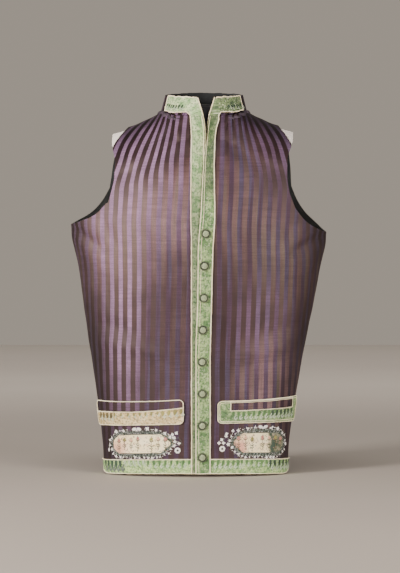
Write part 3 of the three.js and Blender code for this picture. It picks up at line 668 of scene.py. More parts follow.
arcSteps = 6
cloth = {
    "wall": (-0.8, 0.8), "spacing": 4.2, "grainLean": 0.45, "leanFrom": 30, "leanEase": 40, "leanInner": 15,
    "leanWide": 70, "lapTop": 530, "lapEase": 25, "calmTop": 555, "calmEase": 60, "footEase": 20, "oval": 1.6,
    "ripples": [(46, 60, 90, 0, 0.9), (15, 20, 24, 7, 0.28)],  # size in x, y and z, shift, height
    # creases: from and to (across, up), half width, and depth, where a trough is negative
    "frontCreases": [
        (-196, 384, -150, 352, 7, -2.6), (-198, 372, -160, 330, 9, 1.5), (-150, 398, -128, 352, 9, -1.6),
        (-126, 500, -100, 430, 12, -1.3), (-62, 556, -40, 520, 6, -1.6), (-45, 553, -30, 500, 5, -1.5),
        (-30, 548, -24, 486, 5, 1.2), (-112, 525, -90, 470, 9, 1.1), (-140, 300, -120, 210, 14, -1.3),
        (-95, 250, -80, 150, 16, -1.1), (-60, 330, -48, 240, 13, 1.0), (-28, 210, -24, 140, 9, -1.2),
        (-170, 240, -100, 222, 11, -0.9), (-160, 205, -60, 190, 9, 0.8), (-120, 62, -100, 32, 10, -0.9),
        (196, 374, 150, 346, 8, -2.4), (198, 360, 165, 318, 10, 1.4), (150, 392, 126, 350, 9, -1.5),
        (126, 500, 104, 424, 12, -1.4), (84, 552, 62, 512, 6, -1.6), (66, 548, 46, 500, 5, -1.4),
        (50, 546, 34, 484, 5, 1.3), (112, 520, 96, 468, 9, 1.0), (142, 296, 118, 214, 14, -1.2),
        (98, 260, 84, 150, 15, -1.0), (62, 320, 52, 236, 13, 1.1), (34, 225, 30, 150, 8, -1.2),
        (168, 236, 96, 216, 11, -0.9), (150, 200, 50, 182, 9, 0.8), (118, 66, 98, 34, 10, -0.8),
    ],
    "backCreases": [
        (-140, 470, -60, 440, 14, -1.8), (140, 466, 54, 432, 13, -1.7), (-180, 330, -90, 250, 16, -1.6),
        (176, 322, 84, 240, 15, -1.5), (-60, 210, -30, 110, 14, 1.3), (66, 220, 36, 120, 13, 1.2),
        (-120, 180, -40, 165, 9, -1.3), (122, 172, 30, 158, 9, -1.2), (-20, 400, -12, 300, 10, -1.0),
        (30, 560, 60, 520, 8, -1.2), (-28, 558, -58, 520, 8, -1.1), (0, 150, 90, 138, 8, 0.9),
    ],
}


creaseEnds = {"past": 0.3, "share": 0.545, "slope": 1.8, "round": 2.2}


def creaseDepth(panel, x, z):
    # each crease is deepest in its middle, and fades a little past its ends
    depth = 0.0
    for x0, z0, x1, z1, width, deep in cloth["backCreases" if panel["isBack"] else "frontCreases"]:
        dx, dz = x1 - x0, z1 - z0
        t = ((x - x0) * dx + (z - z0) * dz) / (dx * dx + dz * dz)
        off = math.hypot(x - x0 - t * dx, z - z0 - t * dz)
        past = abs(t - clamp(t))
        if past < creaseEnds["past"] and off < 3 * width:
            fade = 1 - abs(2 * t - 1) ** 3 / creaseEnds["round"]
            if past:
                fade = max(0.0, creaseEnds["share"] - past * creaseEnds["slope"])
            depth += deep * fade * math.exp(-(off / width) ** 2)
    return depth


gathers = {  # they run on both sides of the collar's middle, below the neck seam
    "middle": 9.0, "seam": 562.0, "deep": 1.5, "pitch": 8.0, "long": 36, "from": 20, "to": 66, "ease": 8,
}


def gatherDepth(panel, x, z):
    # small upright folds that hang from the neck seam and fade away below it
    if panel["isBack"]:
        return 0.0
    side = abs(x - gathers["middle"])
    ends = clamp((side - gathers["from"]) / gathers["ease"]) * clamp((gathers["to"] - side) / gathers["ease"])
    below = max(0.0, gathers["seam"] - z)
    sway = 1.4 * noise.noise(Vector((x / 20, 0, z / 20)))
    fold = math.sin(2 * math.pi * side / gathers["pitch"] + sway)
    return gathers["deep"] * fold * ends * math.exp(-(below / gathers["long"]) ** 2)


hemCorner = {"round": 8.5, "top": 25}


def cornerRise(angle, up):
    # the lower corners are rounded up towards the side seams
    size = hemCorner["round"]
    if up >= hemCorner["top"] or angle < 45:
        return 0.0
    half = sections["half"](up)
    d = clamp((half * math.sin(min(angle, 90) * degrees) - half + size) / size)
    share = (hemCorner["top"] - up) / (hemCorner["top"] - heights["hem"])
    return 0.9 * size * (1 - math.sqrt(1 - d * d)) * min(1.0, share)


def surfacePoint(panel, column, row):
    # a point of the cloth's middle, with its creases, and the same place on the flat cut
    angle, up = placeOf(panel, column, row)
    point = bodyPoint(panel, angle, up)
    point.z += cornerRise(angle, up)
    if panel["laps"] and column < 2:
        point.y -= lapLift(column) * clamp((cloth["lapTop"] - up) / cloth["lapEase"])
    if column < 0:
        point.y += panel["opening"]["back"](up) * (-column) ** 1.4
    far = clamp((cloth["calmTop"] - point.z) / cloth["calmEase"]) if abs(point.x) > 40 else 1.0
    near = clamp((point.z - heights["hem"]) / cloth["footEase"])
    depth = creaseDepth(panel, point.x, point.z) * far * near + gatherDepth(panel, point.x, point.z)
    for wide, deep, high, shift, size in cloth["ripples"]:
        depth += far * size * noise.noise(Vector((point.x / wide + shift, point.y / deep, point.z / high)))
    out = Vector((point.x / cloth["oval"], point.y, 0)).normalized()
    return point + out * depth, flatPlace(panel, angle, up)


nudge = {"column": 0.08, "row": 1.5}


def surfaceAt(panel, column, row):
    # a point of the cloth with the outward direction there
    point = surfacePoint(panel, column, row)[0]
    side = surfacePoint(panel, column + nudge["column"], row)[0] - point
    rise = surfacePoint(panel, column, row + nudge["row"])[0] - point
    out = side.cross(rise)
    if panel["reversed"]:
        out.negate()
    return point, out.normalized()


rightFront = makePanel("right", -1, False)
leftFront = makePanel("left", 1, False)
rightBack = makePanel("right", -1, True)
leftBack = makePanel("left", 1, True)
fronts = (rightFront, leftFront)


# grids and walls

def panelColumns(panel):
    columns = steps(-1, 0, 7) if panel["opening"] else [0.0]
    shares = panel["cut"]["columns"]
    for i, (a, b) in enumerate(zip(shares, shares[1:])):
        columns += steps(i, i + 1, max(2, round((b - a) * 240 / cloth["spacing"])))[1:]
    return columns


def panelRows(panel):
    hem, chest = heights["hem"], heights["chest"]
    rows = steps(hem, chest, round((chest - hem) / cloth["spacing"])) + steps(chest, panel["footUp"], 20)[1:]
    return rows + steps(panel["footUp"], panel["topRow"], 46)[1:]


def turned(panel, grid):
    # every row from left to right as seen from outside
    return [cells[::-1] for cells in grid] if panel["reversed"] else grid


def gridOf(panel, columns, rows):
    # rows of (point, flat place) cells; there is none past the armhole
    def cellAt(column, row):
        past = row > panel["footUp"] + 1e-6 and column > longColumns + 1e-6
        return None if past else surfacePoint(panel, column, row)

    return turned(panel, [[cellAt(column, row) for column in columns] for row in rows])


def ringFaces(count, sides, start=0):
    # the faces between rings of points, each ring closed on itself
    faces = []
    for j in range(count):
        for n in range(sides):
            a, b = start + j * sides + n, start + j * sides + (n + 1) % sides
            faces.append((a, b, b + sides, a + sides))
    return faces


def gridFaces(grid):
    faces = []
    for j in range(len(grid) - 1):
        for i in range(len(grid[j]) - 1):
            corners = [(j, i), (j, i + 1), (j + 1, i + 1), (j + 1, i)]
            if all(grid[b][a] is not None for b, a in corners):
                faces.append(corners)
    return faces


def gridNormals(grid, faces):
    normals = {}
    for corners in faces:
        a, b, c, d = (grid[j][i][0] for j, i in corners)
        out = (c - a).cross(d - b)
        for corner in corners:
            normals[corner] = normals.get(corner, Vector()) + out
    return {key: value.normalized() for key, value in normals.items()}


def wornPiece(name, mesh):
    piece = linkPiece(name, mesh)
    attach(piece, "root")
    return piece


def newPiece(name, points, faces, finish, uvs=None, materialOf=None, sharp=40):
    # a mesh piece at the origin from points in millimetres on the garment's own axes
    mesh = bpy.data.meshes.new(name)
    mesh.from_pydata([tuple((p + standAt) * mm) for p in points], [], faces)
    names = [finish] if isinstance(finish, str) else finish
    for key in names:
        mesh.materials.append(finishes[key])
    if materialOf:
        mesh.polygons.foreach_set("material_index", materialOf)
    if uvs:
        layer = mesh.uv_layers.new(name="cut")
        loops = [0] * len(mesh.loops)
        mesh.loops.foreach_get("vertex_index", loops)
        layer.data.foreach_set("uv", [c * mm for k in loops for c in uvs[k]])
    mesh.shade_smooth()
    mesh.set_sharp_from_angle(angle=sharp * degrees)
    mesh.validate()
    return wornPiece(name, mesh)


def wallPiece(name, grid, inner, outer, finish, back=None, keep=None):
    # closes a grid into a wall; inner and outer are distances from the grid, and keep may leave faces out
    faces = [f for f in gridFaces(grid) if keep is None or keep(*f[0])]
    normals = gridNormals(grid, faces)
    used = sorted({corner for f in faces for corner in f})
    index = {corner: k for k, corner in enumerate(used)}
    far = len(used)
    points = [grid[j][i][0] + normals[j, i] * distance for distance in (outer, inner) for j, i in used]
    uvs = [grid[j][i][1] for j, i in used] * 2
    quads = []
    slots = []
    rims = {}
    for corners in faces:
        a, b, c, d = (index[corner] for corner in corners)
        quads += [(a, b, c, d), (d + far, c + far, b + far, a + far)]
        slots += [0, 1 if back else 0]
        for p, q in ((a, b), (b, c), (c, d), (d, a)):
            if rims.pop((q, p), None) is None:
                rims[p, q] = True
    quads += [(q, p, p + far, q + far) for p, q in rims]
    slots += [0] * len(rims)
    piece = newPiece(name, points, quads, [finish, back] if back else finish, uvs, slots)
    return piece, flatSize(grid, faces)


def flatSize(grid, faces):
    # width, length and area of the flat cut, in metres
    us = [grid[j][i][1][0] * mm for f in faces for j, i in f]
    vs = [grid[j][i][1][1] * mm for f in faces for j, i in f]
    area = 0.0
    for corners in faces:
        flat = [grid[j][i][1] for j, i in corners]
        area += sum(p[0] * q[1] - q[0] * p[1] for p, q in zip(flat, flat[1:] + flat[:1])) / 2
    return max(us) - min(us), max(vs) - min(vs), abs(area) * mm * mm


def addCloth(name, grid, reach, finish, held, restsOn, node, slot, back=None, keep=None):
    # one sheet of cloth in the place of one node of the model
    piece, size = wallPiece(name, grid, *reach, finish, back, keep)
    width, length = (math.ceil(side * 1000) / 1000 for side in size[:2])
    area = min(size[2], width * length)
    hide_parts(node)
    print(f"cloth {name}: {width * 1000:.0f} x {length * 1000:.0f} mm, {area:.4f} m2")


# the two fronts and the back

stripeStart = {"right": 0.0, "left": -1.5}  # millimetres that move the stripes sideways on each front


def cellsMoved(grid, across, flip=1):
    # the same cells with their flat places mirrored by a flip of -1, then moved across
    def moved(point, flat):
        return point, (flat[0] * flip + across, flat[1])

    return [[cell and moved(*cell) for cell in cells] for cells in grid]


def pieceName(word, panel):
    return word + panel["name"].capitalize()


def addFront(panel):
    name = panel["name"]
    grid = cellsMoved(gridOf(panel, panelColumns(panel), panelRows(panel)), stripeStart[name])
    addCloth(
        pieceName("front", panel), grid, cloth["wall"], "silk", "draped", "dressForm", "front_" + name,
        "striped_silk", back="lining",
    )


def addBack():
    left, right = (gridOf(panel, panelColumns(panel), panelRows(panel)) for panel in (leftBack, rightBack))
    joined = [a + b[1:] for a, b in zip(cellsMoved(left, 0.0, -1), right)]
    looks = {"finish": "backCloth", "slot": "dark_lining", "back": "lining"}
    addCloth("backPanel", joined, cloth["wall"], held="draped", restsOn="dressForm", node="back", **looks)


# the form

form = {
    "z": [-3, 4, 20, 60, 110, 180, 250, 310, 350, 380, 402, 422, 440, 460, 480, 496, 507, 515, 522, 529,
          534.4, 538.4, 541, 546.5, 553, 559.2],
    "cut": [104, 122, 132, 138, 146, 156, 166, 171, 167, 157, 145, 132, 126, 125, 126, 129, 134, 141.5, 142.5,
            142.5, 142.5, 128, 120, 106, 92, 80],
    "oval": [104.2, 122.2, 132.2, 138.2, 146.2, 156.2, 166.2, 171.3, 168.5, 163, 164, 168, 176, 186, 196, 204,
             210] + [212] * 9,
    "front": [30, 46, 60, 67, 71, 76, 82, 88, 90, 89, 86, 82, 77, 70, 60, 54, 50] + [48] * 9,
    "back": [40, 56, 68, 73, 75, 77, 84, 91, 94, 95, 94, 92, 90, 87, 84, 80, 77] + [75] * 9,
    "room": 2.1, "columns": 48, "turnFrom": 440, "turnOver": 90, "tiltFrom": 500,
}


def formPoint(curves, z, side, key):
    cut = curves["cut"](z)
    x = cut * side
    start = min(ridge(abs(x)), ridge(70)) - form["room"] - shoulder["rollHeight"]
    climb = clamp((z - start) / shoulder["rollHeight"])
    flat = math.sqrt(max(0.0, 1 - (x / curves["oval"](z)) ** 2))
    depth = max(2.0, curves[key](z) * flat * math.sqrt(1 - climb * climb))
    middle = shoulder["ridgeY"] * clamp((z - form["turnFrom"]) / form["turnOver"])
    px = x + sections["lean"](z)
    tilt = sections["tilt"](z) * px if z > form["tiltFrom"] else 0.0
    return Vector((px, middle + (depth if key == "back" else -depth), z + tilt))


def addForm():
    curves = curvesOf({k: form[k] for k in ("z", "cut", "oval", "front", "back")}, "z")
    levels = []
    for a, b in zip(form["z"], form["z"][1:]):
        levels += steps(a, b, max(1, round((b - a) / 8)))[:-1]
    levels.append(form["z"][-1])
    sides = [math.sin(t * math.pi / 2) for t in steps(-1, 1, form["columns"])]
    count = 2 * len(sides)
    points = []
    for z in levels:
        points += [formPoint(curves, z, s, "front") for s in sides]
        points += [formPoint(curves, z, s, "back") for s in reversed(sides)]
    faces = ringFaces(len(levels) - 1, count)
    top = (len(levels) - 1) * count
    for i in range(len(sides) - 1):
        a, b, c, d = i, i + 1, count - 2 - i, count - 1 - i
        faces += [(a, d, c, b), (top + a, top + b, top + c, top + d)]
    piece = newPiece("dressForm", points, faces, "form", sharp=48)
    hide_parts("dress_form")


def addNeckCover():
    node = bpy.data.objects["neck_cover"]
    mesh = node.data.copy()
    mesh.name = "neckCover"
    mesh.transform(node.matrix_world)
    # the black cap is partly painted shade: it stands for the shade inside the collar
    mesh.materials.clear()
    mesh.materials.append(finishes["blackCloth"])
    mesh.shade_smooth()
    mesh.set_sharp_from_angle(angle=40 * degrees)
    piece = wornPiece("neckCover", mesh)
    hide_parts("neck_cover")


addForm()
addNeckCover()
for panel in fronts:
    addFront(panel)
addBack()
print("panels made")


# ribbons, flaps and medallions, on the points of the panels

layers = {"trimFoot": 1.15, "trim": 0.9, "flap": 1.8, "gap": 0.35}  # outwards from the cloth's middle
trimFace = layers["trimFoot"] + layers["trim"]
flapFace = layers["trimFoot"] + layers["flap"]
flapTrimFoot = flapFace + layers["gap"]
flapTrimFace = flapTrimFoot + layers["trim"]
trimReach = (layers["trimFoot"], trimFace)


def bandUvs(panel, grid):
    # the front ribbon's width is read from its lap edge
    wide = []
    for cells in turned(panel, grid):
        width = 0.0
        placed = []
        for (point, _), (before, _) in zip(cells, cells[:1] + cells):
            width += (point - before).length
            placed.append((point, (width, point.z)))
        wide.append(placed)
    return turned(panel, wide)


def addBands(panel):
    name = panel["name"]
    front = pieceName("front", panel)
    look = "green" if panel["laps"] else "mint"
    grid = bandUvs(panel, gridOf(panel, steps(-1, 0, 8), panelRows(panel)))
    band = pieceName("frontBand", panel)
    addCloth(band, grid, trimReach, look, "laid", front, "front_band_" + name, "green_ribbon")
    hem, top = heights["hem"], heights["hemBand"]
    grid = gridOf(panel, [c for c in panelColumns(panel) if c >= 0], steps(hem, top, 6))
    grid = [[(point, (up - hem, across)) for point, (across, up) in cells] for cells in grid]
    band = pieceName("hemBand", panel)
    addCloth(band, grid, trimReach, "aged", "laid", front, "hem_band_" + name, "green_ribbon")


for panel in fronts:
    addBands(panel)


def acrossOf(panel, column, up):
    # how far along the cloth a column lies from the ribbon's inner line
    first = flatPlace(panel, columnAngle(panel, 0, up), up)[0]
    return flatPlace(panel, columnAngle(panel, column, up), up)[0] - first


columnTables = {}


def columnFrom(panel, across, up):
    # the column that lies so far along the cloth, at a level below the chest
    key = (panel["name"], round(up))
    if key not in columnTables:
        columns = steps(0, 14, 42)
        reach = [acrossOf(panel, c, key[1]) for c in columns]
        columnTables[key] = smoothCurve(reach, columns)
    return columnTables[key](across)


def clothAt(panel, across, up):
    # a point of the lower cloth and its outward direction, from flat distances in millimetres
    return surfaceAt(panel, columnFrom(panel, across, up), up)


flaps = {
    "foot": 80, "trim": 101, "top": 118, "firstColumn": 1, "lastColumn": {"right": 12.85, "left": 13},
    "measured": 100, "corner": 7.5, "sag": 1.6, "arm": {"front": 20, "side": 17}, "rise": 4.5, "riseFrom": 92,
    "riseOver": 0.55, "drop": {"right": (0, 0), "left": (3.8, 0.6)}, "cells": 44,
}


def flapEnds(panel):
    ends = flaps["firstColumn"], flaps["lastColumn"][panel["name"]]
    return [acrossOf(panel, column, flaps["measured"]) for column in ends]


def flapInset(up):
    # how far the rounded corners draw the ends in
    corner = flaps["corner"]
    near = min(up - flaps["foot"], flaps["top"] - up)
    if near >= corner:
        return 0.0
    return corner - math.sqrt(max(0.0, corner ** 2 - (corner - near) ** 2))


def flapSag(panel, t, up):
    # the flap's top sags in its middle, and on the lapping side it falls towards the front edge
    high = (up - flaps["foot"]) / (flaps["top"] - flaps["foot"])
    t = clamp(t)
    return up - high * (flaps["sag"] * math.sin(math.pi * t) + between(*flaps["drop"][panel["name"]], t))


def flapPlace(panel, t, up):
    # t runs from the end by the front edge to the end by the side seam
    first, last = flapEnds(panel)
    inset = flapInset(up)
    return between(first + inset, last - inset, t), flapSag(panel, t, up)


def clothPoint(panel, across, up):
    return surfacePoint(panel, columnFrom(panel, across, up), up)[0]


def clothCell(panel, across, up):
    return clothPoint(panel, across, up), (across + flatPlace(panel, columnAngle(panel, 0, up), up)[0], up)


def roundedSteps(low, high, corner, count):
    # close together at the corners
    ends = [corner * (1 - math.cos(k / 4 * math.pi / 2)) for k in range(5)]
    middle = steps(low + corner, high - corner, count)[1:-1]
    return [low + e for e in ends] + middle + [high - e for e in reversed(ends)]


def flapLevels():
    levels = roundedSteps(flaps["foot"], flaps["top"], flaps["corner"], 6)
    return sorted(set(levels + [flaps["trim"]]))


def ribbonLine(t):
    # the ribbon's upper edge climbs a little towards the front edge on the plain flap
    return flaps["trim"] + flaps["rise"] * max(0.0, 1 - t / flaps["riseOver"]) ** 1.6


def flapTrimCell(panel, t, up):
    level = up
    low = flaps["riseFrom"]
    if not panel["laps"] and up > low:
        level = between(low, ribbonLine(t), (up - low) / (flaps["trim"] - low))
    across, high = flapPlace(panel, t, level)
    return clothPoint(panel, across, high), (up - flaps["foot"], across)


def addFlap(panel):
    name = panel["name"]
    ts = steps(0, 1, flaps["cells"])
    levels = flapLevels()
    grid = turned(panel, [[clothCell(panel, *flapPlace(panel, t, up)) for t in ts] for up in levels])
    flap = pieceName("flap", panel)
    front = pieceName("front", panel)
    reach = (layers["trimFoot"], flapFace)
    addCloth(flap, grid, reach, "silk", "laid", front, "flap_" + name, "striped_silk", back="lining")
    first, last = flapEnds(panel)
    arms = [length / (last - first) for length in flaps["arm"].values()]
    ts = sorted({*ts, arms[0], 1 - arms[1]})
    if not panel["laps"]:
        levels = [v for v in levels if v <= flaps["trim"]]
    grid = turned(panel, [[flapTrimCell(panel, t, up) for t in ts] for up in levels])

    def keep(j, i):
        # a ribbon along the foot, and on the lapping side two arms that go up its ends
        k = i if panel["side"] > 0 else len(ts) - 2 - i
        middle = (ts[k] + ts[k + 1]) / 2
        return levels[j] < flaps["trim"] - 0.01 or middle < arms[0] or middle > 1 - arms[1]

    look = "green" if panel["laps"] else "cream"
    reach = (flapTrimFoot, flapTrimFace)
    trim = pieceName("flapTrim", panel)
    addCloth(trim, grid, reach, look, "laid", flap, "flap_trim_" + name, look + "_ribbon", keep=keep)


medallion = {
    "right": (2, 10, 4.5), "left": (3, 11, -1.5),  # first and last column, and how far out from their middle
    "up": 50, "high": 14.5, "plainHalf": 38, "tip": 2.0, "blunt": 6.0, "cut": 15, "cutSide": 10,
}


def medallionFrame(panel):
    # the patch's middle across and up, and half its length
    *columns, out = medallion[panel["name"]]
    level = medallion["up"]
    first, last = (acrossOf(panel, column, level) for column in columns)
    return (first + last) / 2 + out, level, (last - first) / 2


def medallionHigh(s, half):
    # half the patch's height at a distance from its middle; its end by the front edge is the pointed one
    m = medallion
    end, cut = (m["tip"], m["cut"]) if s < 0 else (m["blunt"], m["cutSide"])
    return min(m["high"], end + (half - abs(s)) / cut * (m["high"] - end))


def addMedallion(panel):
    middle, level, half = medallionFrame(panel)
    grid = []
    for t in steps(-1, 1, 12):
        cells = []
        for along in steps(-half, half, 44):
            up = t * medallionHigh(along, half)
            cells.append((clothPoint(panel, middle + along, level + up), (panel["side"] * along, up)))
        grid.append(cells)
    addCloth(
        pieceName("medallion", panel), turned(panel, grid), trimReach, pieceName("satin", panel), "laid",
        pieceName("front", panel), "medallion_" + panel["name"], "pale_satin",
    )


for panel in fronts:
    addFlap(panel)
    addMedallion(panel)
print("flaps and patches made")


# the collar

collar = {
    "middleX": 9, "middleY": 4, "half": 61, "front": 60, "back": 58, "frontTop": 585, "backTop": 604.5,
    "foot": 1.6, "ribbonFoot": 0.1, "upright": 0.15, "ribbonRise": 0.17, "rightEnd": -2.5, "leftEnd": 27,
    "neckColumn": 5, "bandColumn": 3, "wave": 0.7, "high": 28, "lining": (-2.05, -1.15), "band": (1.15, 2.05),
    "leafColumn": 0.6, "leafGap": 5.4, "leafSize": 0.7, "leafHigh": 0.36,
}


pastRibbon = 9  # the column that cells of the collar's back are given


def collarTurn(point):
    return math.atan2(point.x - collar["middleX"], collar["middleY"] - point.y)


def collarTop(turn):
    depth = collar["front"] if math.cos(turn) > 0 else collar["back"]
    z = between(collar["frontTop"], collar["backTop"], (1 - math.cos(turn)) / 2)
    x = collar["middleX"] + collar["half"] * math.sin(turn)
    return Vector((x, collar["middleY"] - depth * math.cos(turn), z))


def neckFeet(panel, columns):
    return [surfacePoint(panel, column, panel["topRow"])[0] for column in columns]


def collarSide(panel, end):
    # foot and top points of one front's share of the collar, from its edge to the shoulder
    neck = collar["neckColumn"]
    columns = steps(-1, 0, 8) + steps(0, neck, 26)[1:]
    feet = neckFeet(panel, columns)
    endTurn = math.asin((end - collar["middleX"]) / collar["half"])
    inner = collarTurn(feet[columns.index(0)])
    cells = []
    for column, foot in zip(columns, feet):
        turn = between(endTurn, inner, 1 + column) if column < 0 else collarTurn(foot)
        if column > 0:  # the grain of the collar is a little more upright than its end
            turn += panel["side"] * collar["upright"] * math.sin(math.pi * clamp(column / neck)) ** 2
        lift = between(collar["ribbonFoot"], collar["foot"], clamp(column))
        cells.append((column, foot + Vector((0, 0, lift)), collarTop(turn)))
    return cells


def collarBack(panel):
    lift = Vector((0, 0, collar["foot"]))
    feet = [foot + lift for foot in neckFeet(panel, steps(0, collar["neckColumn"], 20))]
    return [(pastRibbon, foot, collarTop(collarTurn(foot))) for foot in feet]


def collarLine():
    right = collarSide(rightFront, collar["rightEnd"])
    left = collarSide(leftFront, collar["leftEnd"])
    backRight = collarBack(rightBack)
    backLeft = collarBack(leftBack)
    return right + backRight[:-1][::-1] + backLeft[1:-1] + left[::-1]


def collarRise(column):
    # the share of the collar's height at which its ribbon starts, past the front ribbon
    return collar["ribbonRise"] * max(0.0, 1 - column / collar["bandColumn"]) if column > 0 else 0.0


def collarGrid(cells, rise=lambda column: 0.0):
    # the line runs clockwise as seen from above, so its rows are turned to face outwards
    grid = []
    for t in steps(0, 1, 8):
        along = 0.0
        row = []
        for (column, foot, top), before in zip(cells, cells[:1] + cells):
            along += (top - before[2]).length
            share = between(rise(column), 1, t)
            point = foot.lerp(top, share)
            point.z += collar["wave"] * share * noise.noise(Vector((along / 7, 3.1, 0.4)))
            row.append((point, (along, share * collar["high"])))
        grid.append(row[::-1])
    return grid


def addCollar():
    line = collarLine()
    grid = collarGrid(line)
    stand = "collarStand"
    addCloth(stand, grid, cloth["wall"], "silk", "laid", "backPanel", "collar_stand", "striped_silk")
    addCloth("collarLining", grid, collar["lining"], "lining", "laid", stand, "collar_lining", "dark_lining")
    half = len(line) // 2
    ends = {}
    for side, cells, look in (("right", line[:half], "mint"), ("left", line[half:], "dusk")):
        ends[side] = [cell for cell in cells if cell[0] <= collar["bandColumn"]]
        grid = [[(point, flat[::-1]) for point, flat in row] for row in collarGrid(ends[side], collarRise)]
        band = "collarBand" + side.capitalize()
        addCloth(band, grid, collar["band"], look, "laid", stand, "collar_band_" + side, "green_ribbon")
    return ends


collarEnds = addCollar()


def addTube(name, path, radiusOf, finish, sides=10):
    # a round cord along (point, outward) places, as thick as radiusOf says from 0 to 1 along it
    points = []
    last = len(path) - 1
    for k, (point, out) in enumerate(path):
        side = (path[min(k + 1, last)][0] - path[max(k - 1, 0)][0]).normalized().cross(out).normalized()
        radius = radiusOf(k / last)
        for n in range(sides):
            turn = 2 * math.pi * n / sides
            points.append(point + (out * math.cos(turn) + side * math.sin(turn)) * radius)
    faces = [tuple(reversed(range(sides))), tuple(range(last * sides, len(points)))]
    return newPiece(name, points, ringFaces(last, sides) + faces, finish, sharp=60)


seamRoll = {
    "from": 0.9, "to": 4.9, "radius": 4.4, "below": 5.2, "lift": 2.6, "thin": 0.25, "swell": 1.6,
    "puckers": 95, "pucker": 0.12,
}


def addSeamRolls():
    # the gathered neck edge is turned into a soft roll under the collar
    for panel in fronts:
        path = []
        for column in steps(seamRoll["from"], seamRoll["to"], 60):
            point, out = surfaceAt(panel, column, panel["topRow"] - 2.0)
            path.append((point + out * seamRoll["lift"] - Vector((0, 0, seamRoll["below"])), out))
        if not panel["laps"]:
            path.reverse()

        def radiusOf(t, laps=panel["laps"]):
            swell = min(1, (t if laps else 1 - t) * seamRoll["swell"])
            pucker = 1 + seamRoll["pucker"] * math.sin(t * seamRoll["puckers"])
            return seamRoll["radius"] * between(seamRoll["thin"], 1, swell) * pucker

        addTube(pieceName("seamRoll", panel), path, radiusOf, "seam")


addSeamRolls()
print("collar made")


# what repeats: one node tree sets small shaped stitches, leaves, petals and cord twists on points

motifInputs = {"Segments": "Int", "Rings": "Int", "Taper": "Float", "Turn": "Float", "Material": "Material"}


def makeMotifTree():
    tree = bpy.data.node_groups.new("motifs", "GeometryNodeTree")
    node = nodesOf(tree)
    for name, kind in {"Geometry": "Geometry", **motifInputs}.items():
        tree.interface.new_socket(name, in_out="INPUT", socket_type="NodeSocket" + kind)
    tree.interface.new_socket("Geometry", in_out="OUTPUT", socket_type="NodeSocketGeometry")
    given = tree.nodes.new("NodeGroupInput").outputs

    def named(key):
        return addNode(tree, "GeometryNodeInputNamedAttribute", {"data_type": "FLOAT_VECTOR"}, {"Name": key})

    ball = addNode(tree, "GeometryNodeMeshUVSphere", None, {0: given["Segments"], 1: given["Rings"], 2: 0.5})
    spot = addNode(tree, "GeometryNodeInputPosition")
    x, y, z = node("x", spot), node("y", spot), node("z", spot)
    thin = node("minus", 1.0, node("times", given["Taper"], node("plus", y, 0.5)))
    tapered = {0: node("times", x, thin), 1: y, 2: node("times", z, thin)}
    shaped = addNode(tree, "ShaderNodeCombineXYZ", None, tapered)
    motif = addNode(tree, "GeometryNodeSetPosition", None, {"Geometry": ball, "Position": shaped})
    axes = {"primary_axis": "Z", "secondary_axis": "Y"}
    turn = addNode(tree, "FunctionNodeAxesToRotation", axes, {0: named("out"), 1: named("along")})
    twist = addNode(tree, "ShaderNodeCombineXYZ", None, {2: given["Turn"]})
    spin = addNode(tree, "FunctionNodeRotateRotation", {"rotation_space": "LOCAL"}, {0: turn, 1: twist})
    feeds = {"Points": given["Geometry"], "Instance": motif, "Rotation": spin, "Scale": named("size")}
    placed = addNode(tree, "GeometryNodeInstanceOnPoints", None, feeds)
    solid = addNode(tree, "GeometryNodeRealizeInstances", None, {"Geometry": placed})
    smooth = addNode(tree, "GeometryNodeSetShadeSmooth", None, {"Geometry": solid})
    done = addNode(tree, "GeometryNodeSetMaterial", None, {"Geometry": smooth, "Material": given["Material"]})
    tree.links.new(done, tree.nodes.new("NodeGroupOutput").inputs[0])
    return tree


motifTree = makeMotifTree()


def motifPiece(name, items, finish, segments=8, rings=6, taper=0.0, turn=0.0):
    # items are (point, outward, along, (width, length, thickness)), in millimetres
    points = bpy.data.meshes.new(name + "Points")
    points.from_pydata([tuple((item[0] + standAt) * mm) for item in items], [], [])
    for n, key, unit in ((1, "out", 1), (2, "along", 1), (3, "size", mm)):
        layer = points.attributes.new(key, "FLOAT_VECTOR", "POINT")
        layer.data.foreach_set("vector", [part * unit for item in items for part in item[n]])
    holder = linkPiece(name + "Points", points)
    modifier = holder.modifiers.new("motifs", "NODES")
    modifier.node_group = motifTree
    values = dict(zip(motifInputs, (segments, rings, taper, turn, finishes[finish])))
    for socket in motifTree.interface.items_tree:
        if socket.in_out == "INPUT" and socket.name in values:
            modifier[socket.identifier] = values[socket.name]
    bpy.context.view_layer.update()
    mesh = bpy.data.meshes.new_from_object(holder.evaluated_get(bpy.context.evaluated_depsgraph_get()))
    mesh.name = name
    bpy.data.objects.remove(holder)
    for key in ("out", "along", "size"):
        if key in mesh.attributes:
            mesh.attributes.remove(mesh.attributes[key])
    wornPiece(name, mesh)


def spacedPath(path, gap):
    # points and outward directions at even steps along a line, with the line's direction
    spaced = []
    carry = 0.0
    for (p, out), (q, after) in zip(path, path[1:]):
        reach = (q - p).length
        if reach < 1e-6:
            continue
        along = (q - p) / reach
        at = carry
        while at < reach:
            spaced.append((p.lerp(q, at / reach), out.lerp(after, at / reach).normalized(), along))
            at += gap
        carry = at - reach
    return spaced


cord = {  # the first three are shares of the cord's width
    "gap": 0.62, "long": 1.35, "wide": 0.72, "turn": 38, "stray": 0.3, "swell": 0.16, "sink": 0.15,
}


def cordItems(path, width):
    items = []
    for point, out, along in spacedPath(path, width * cord["gap"]):
        side = along.cross(out)
        stray = noise.noise(point / 9) * cord["stray"]
        swell = width * (1 + cord["swell"] * noise.noise(point / 3.1))
        size = (swell * cord["wide"], swell * cord["long"], swell)
        items.append((point + side * stray + out * (swell / 2 - cord["sink"]), out, along, size))
    return items


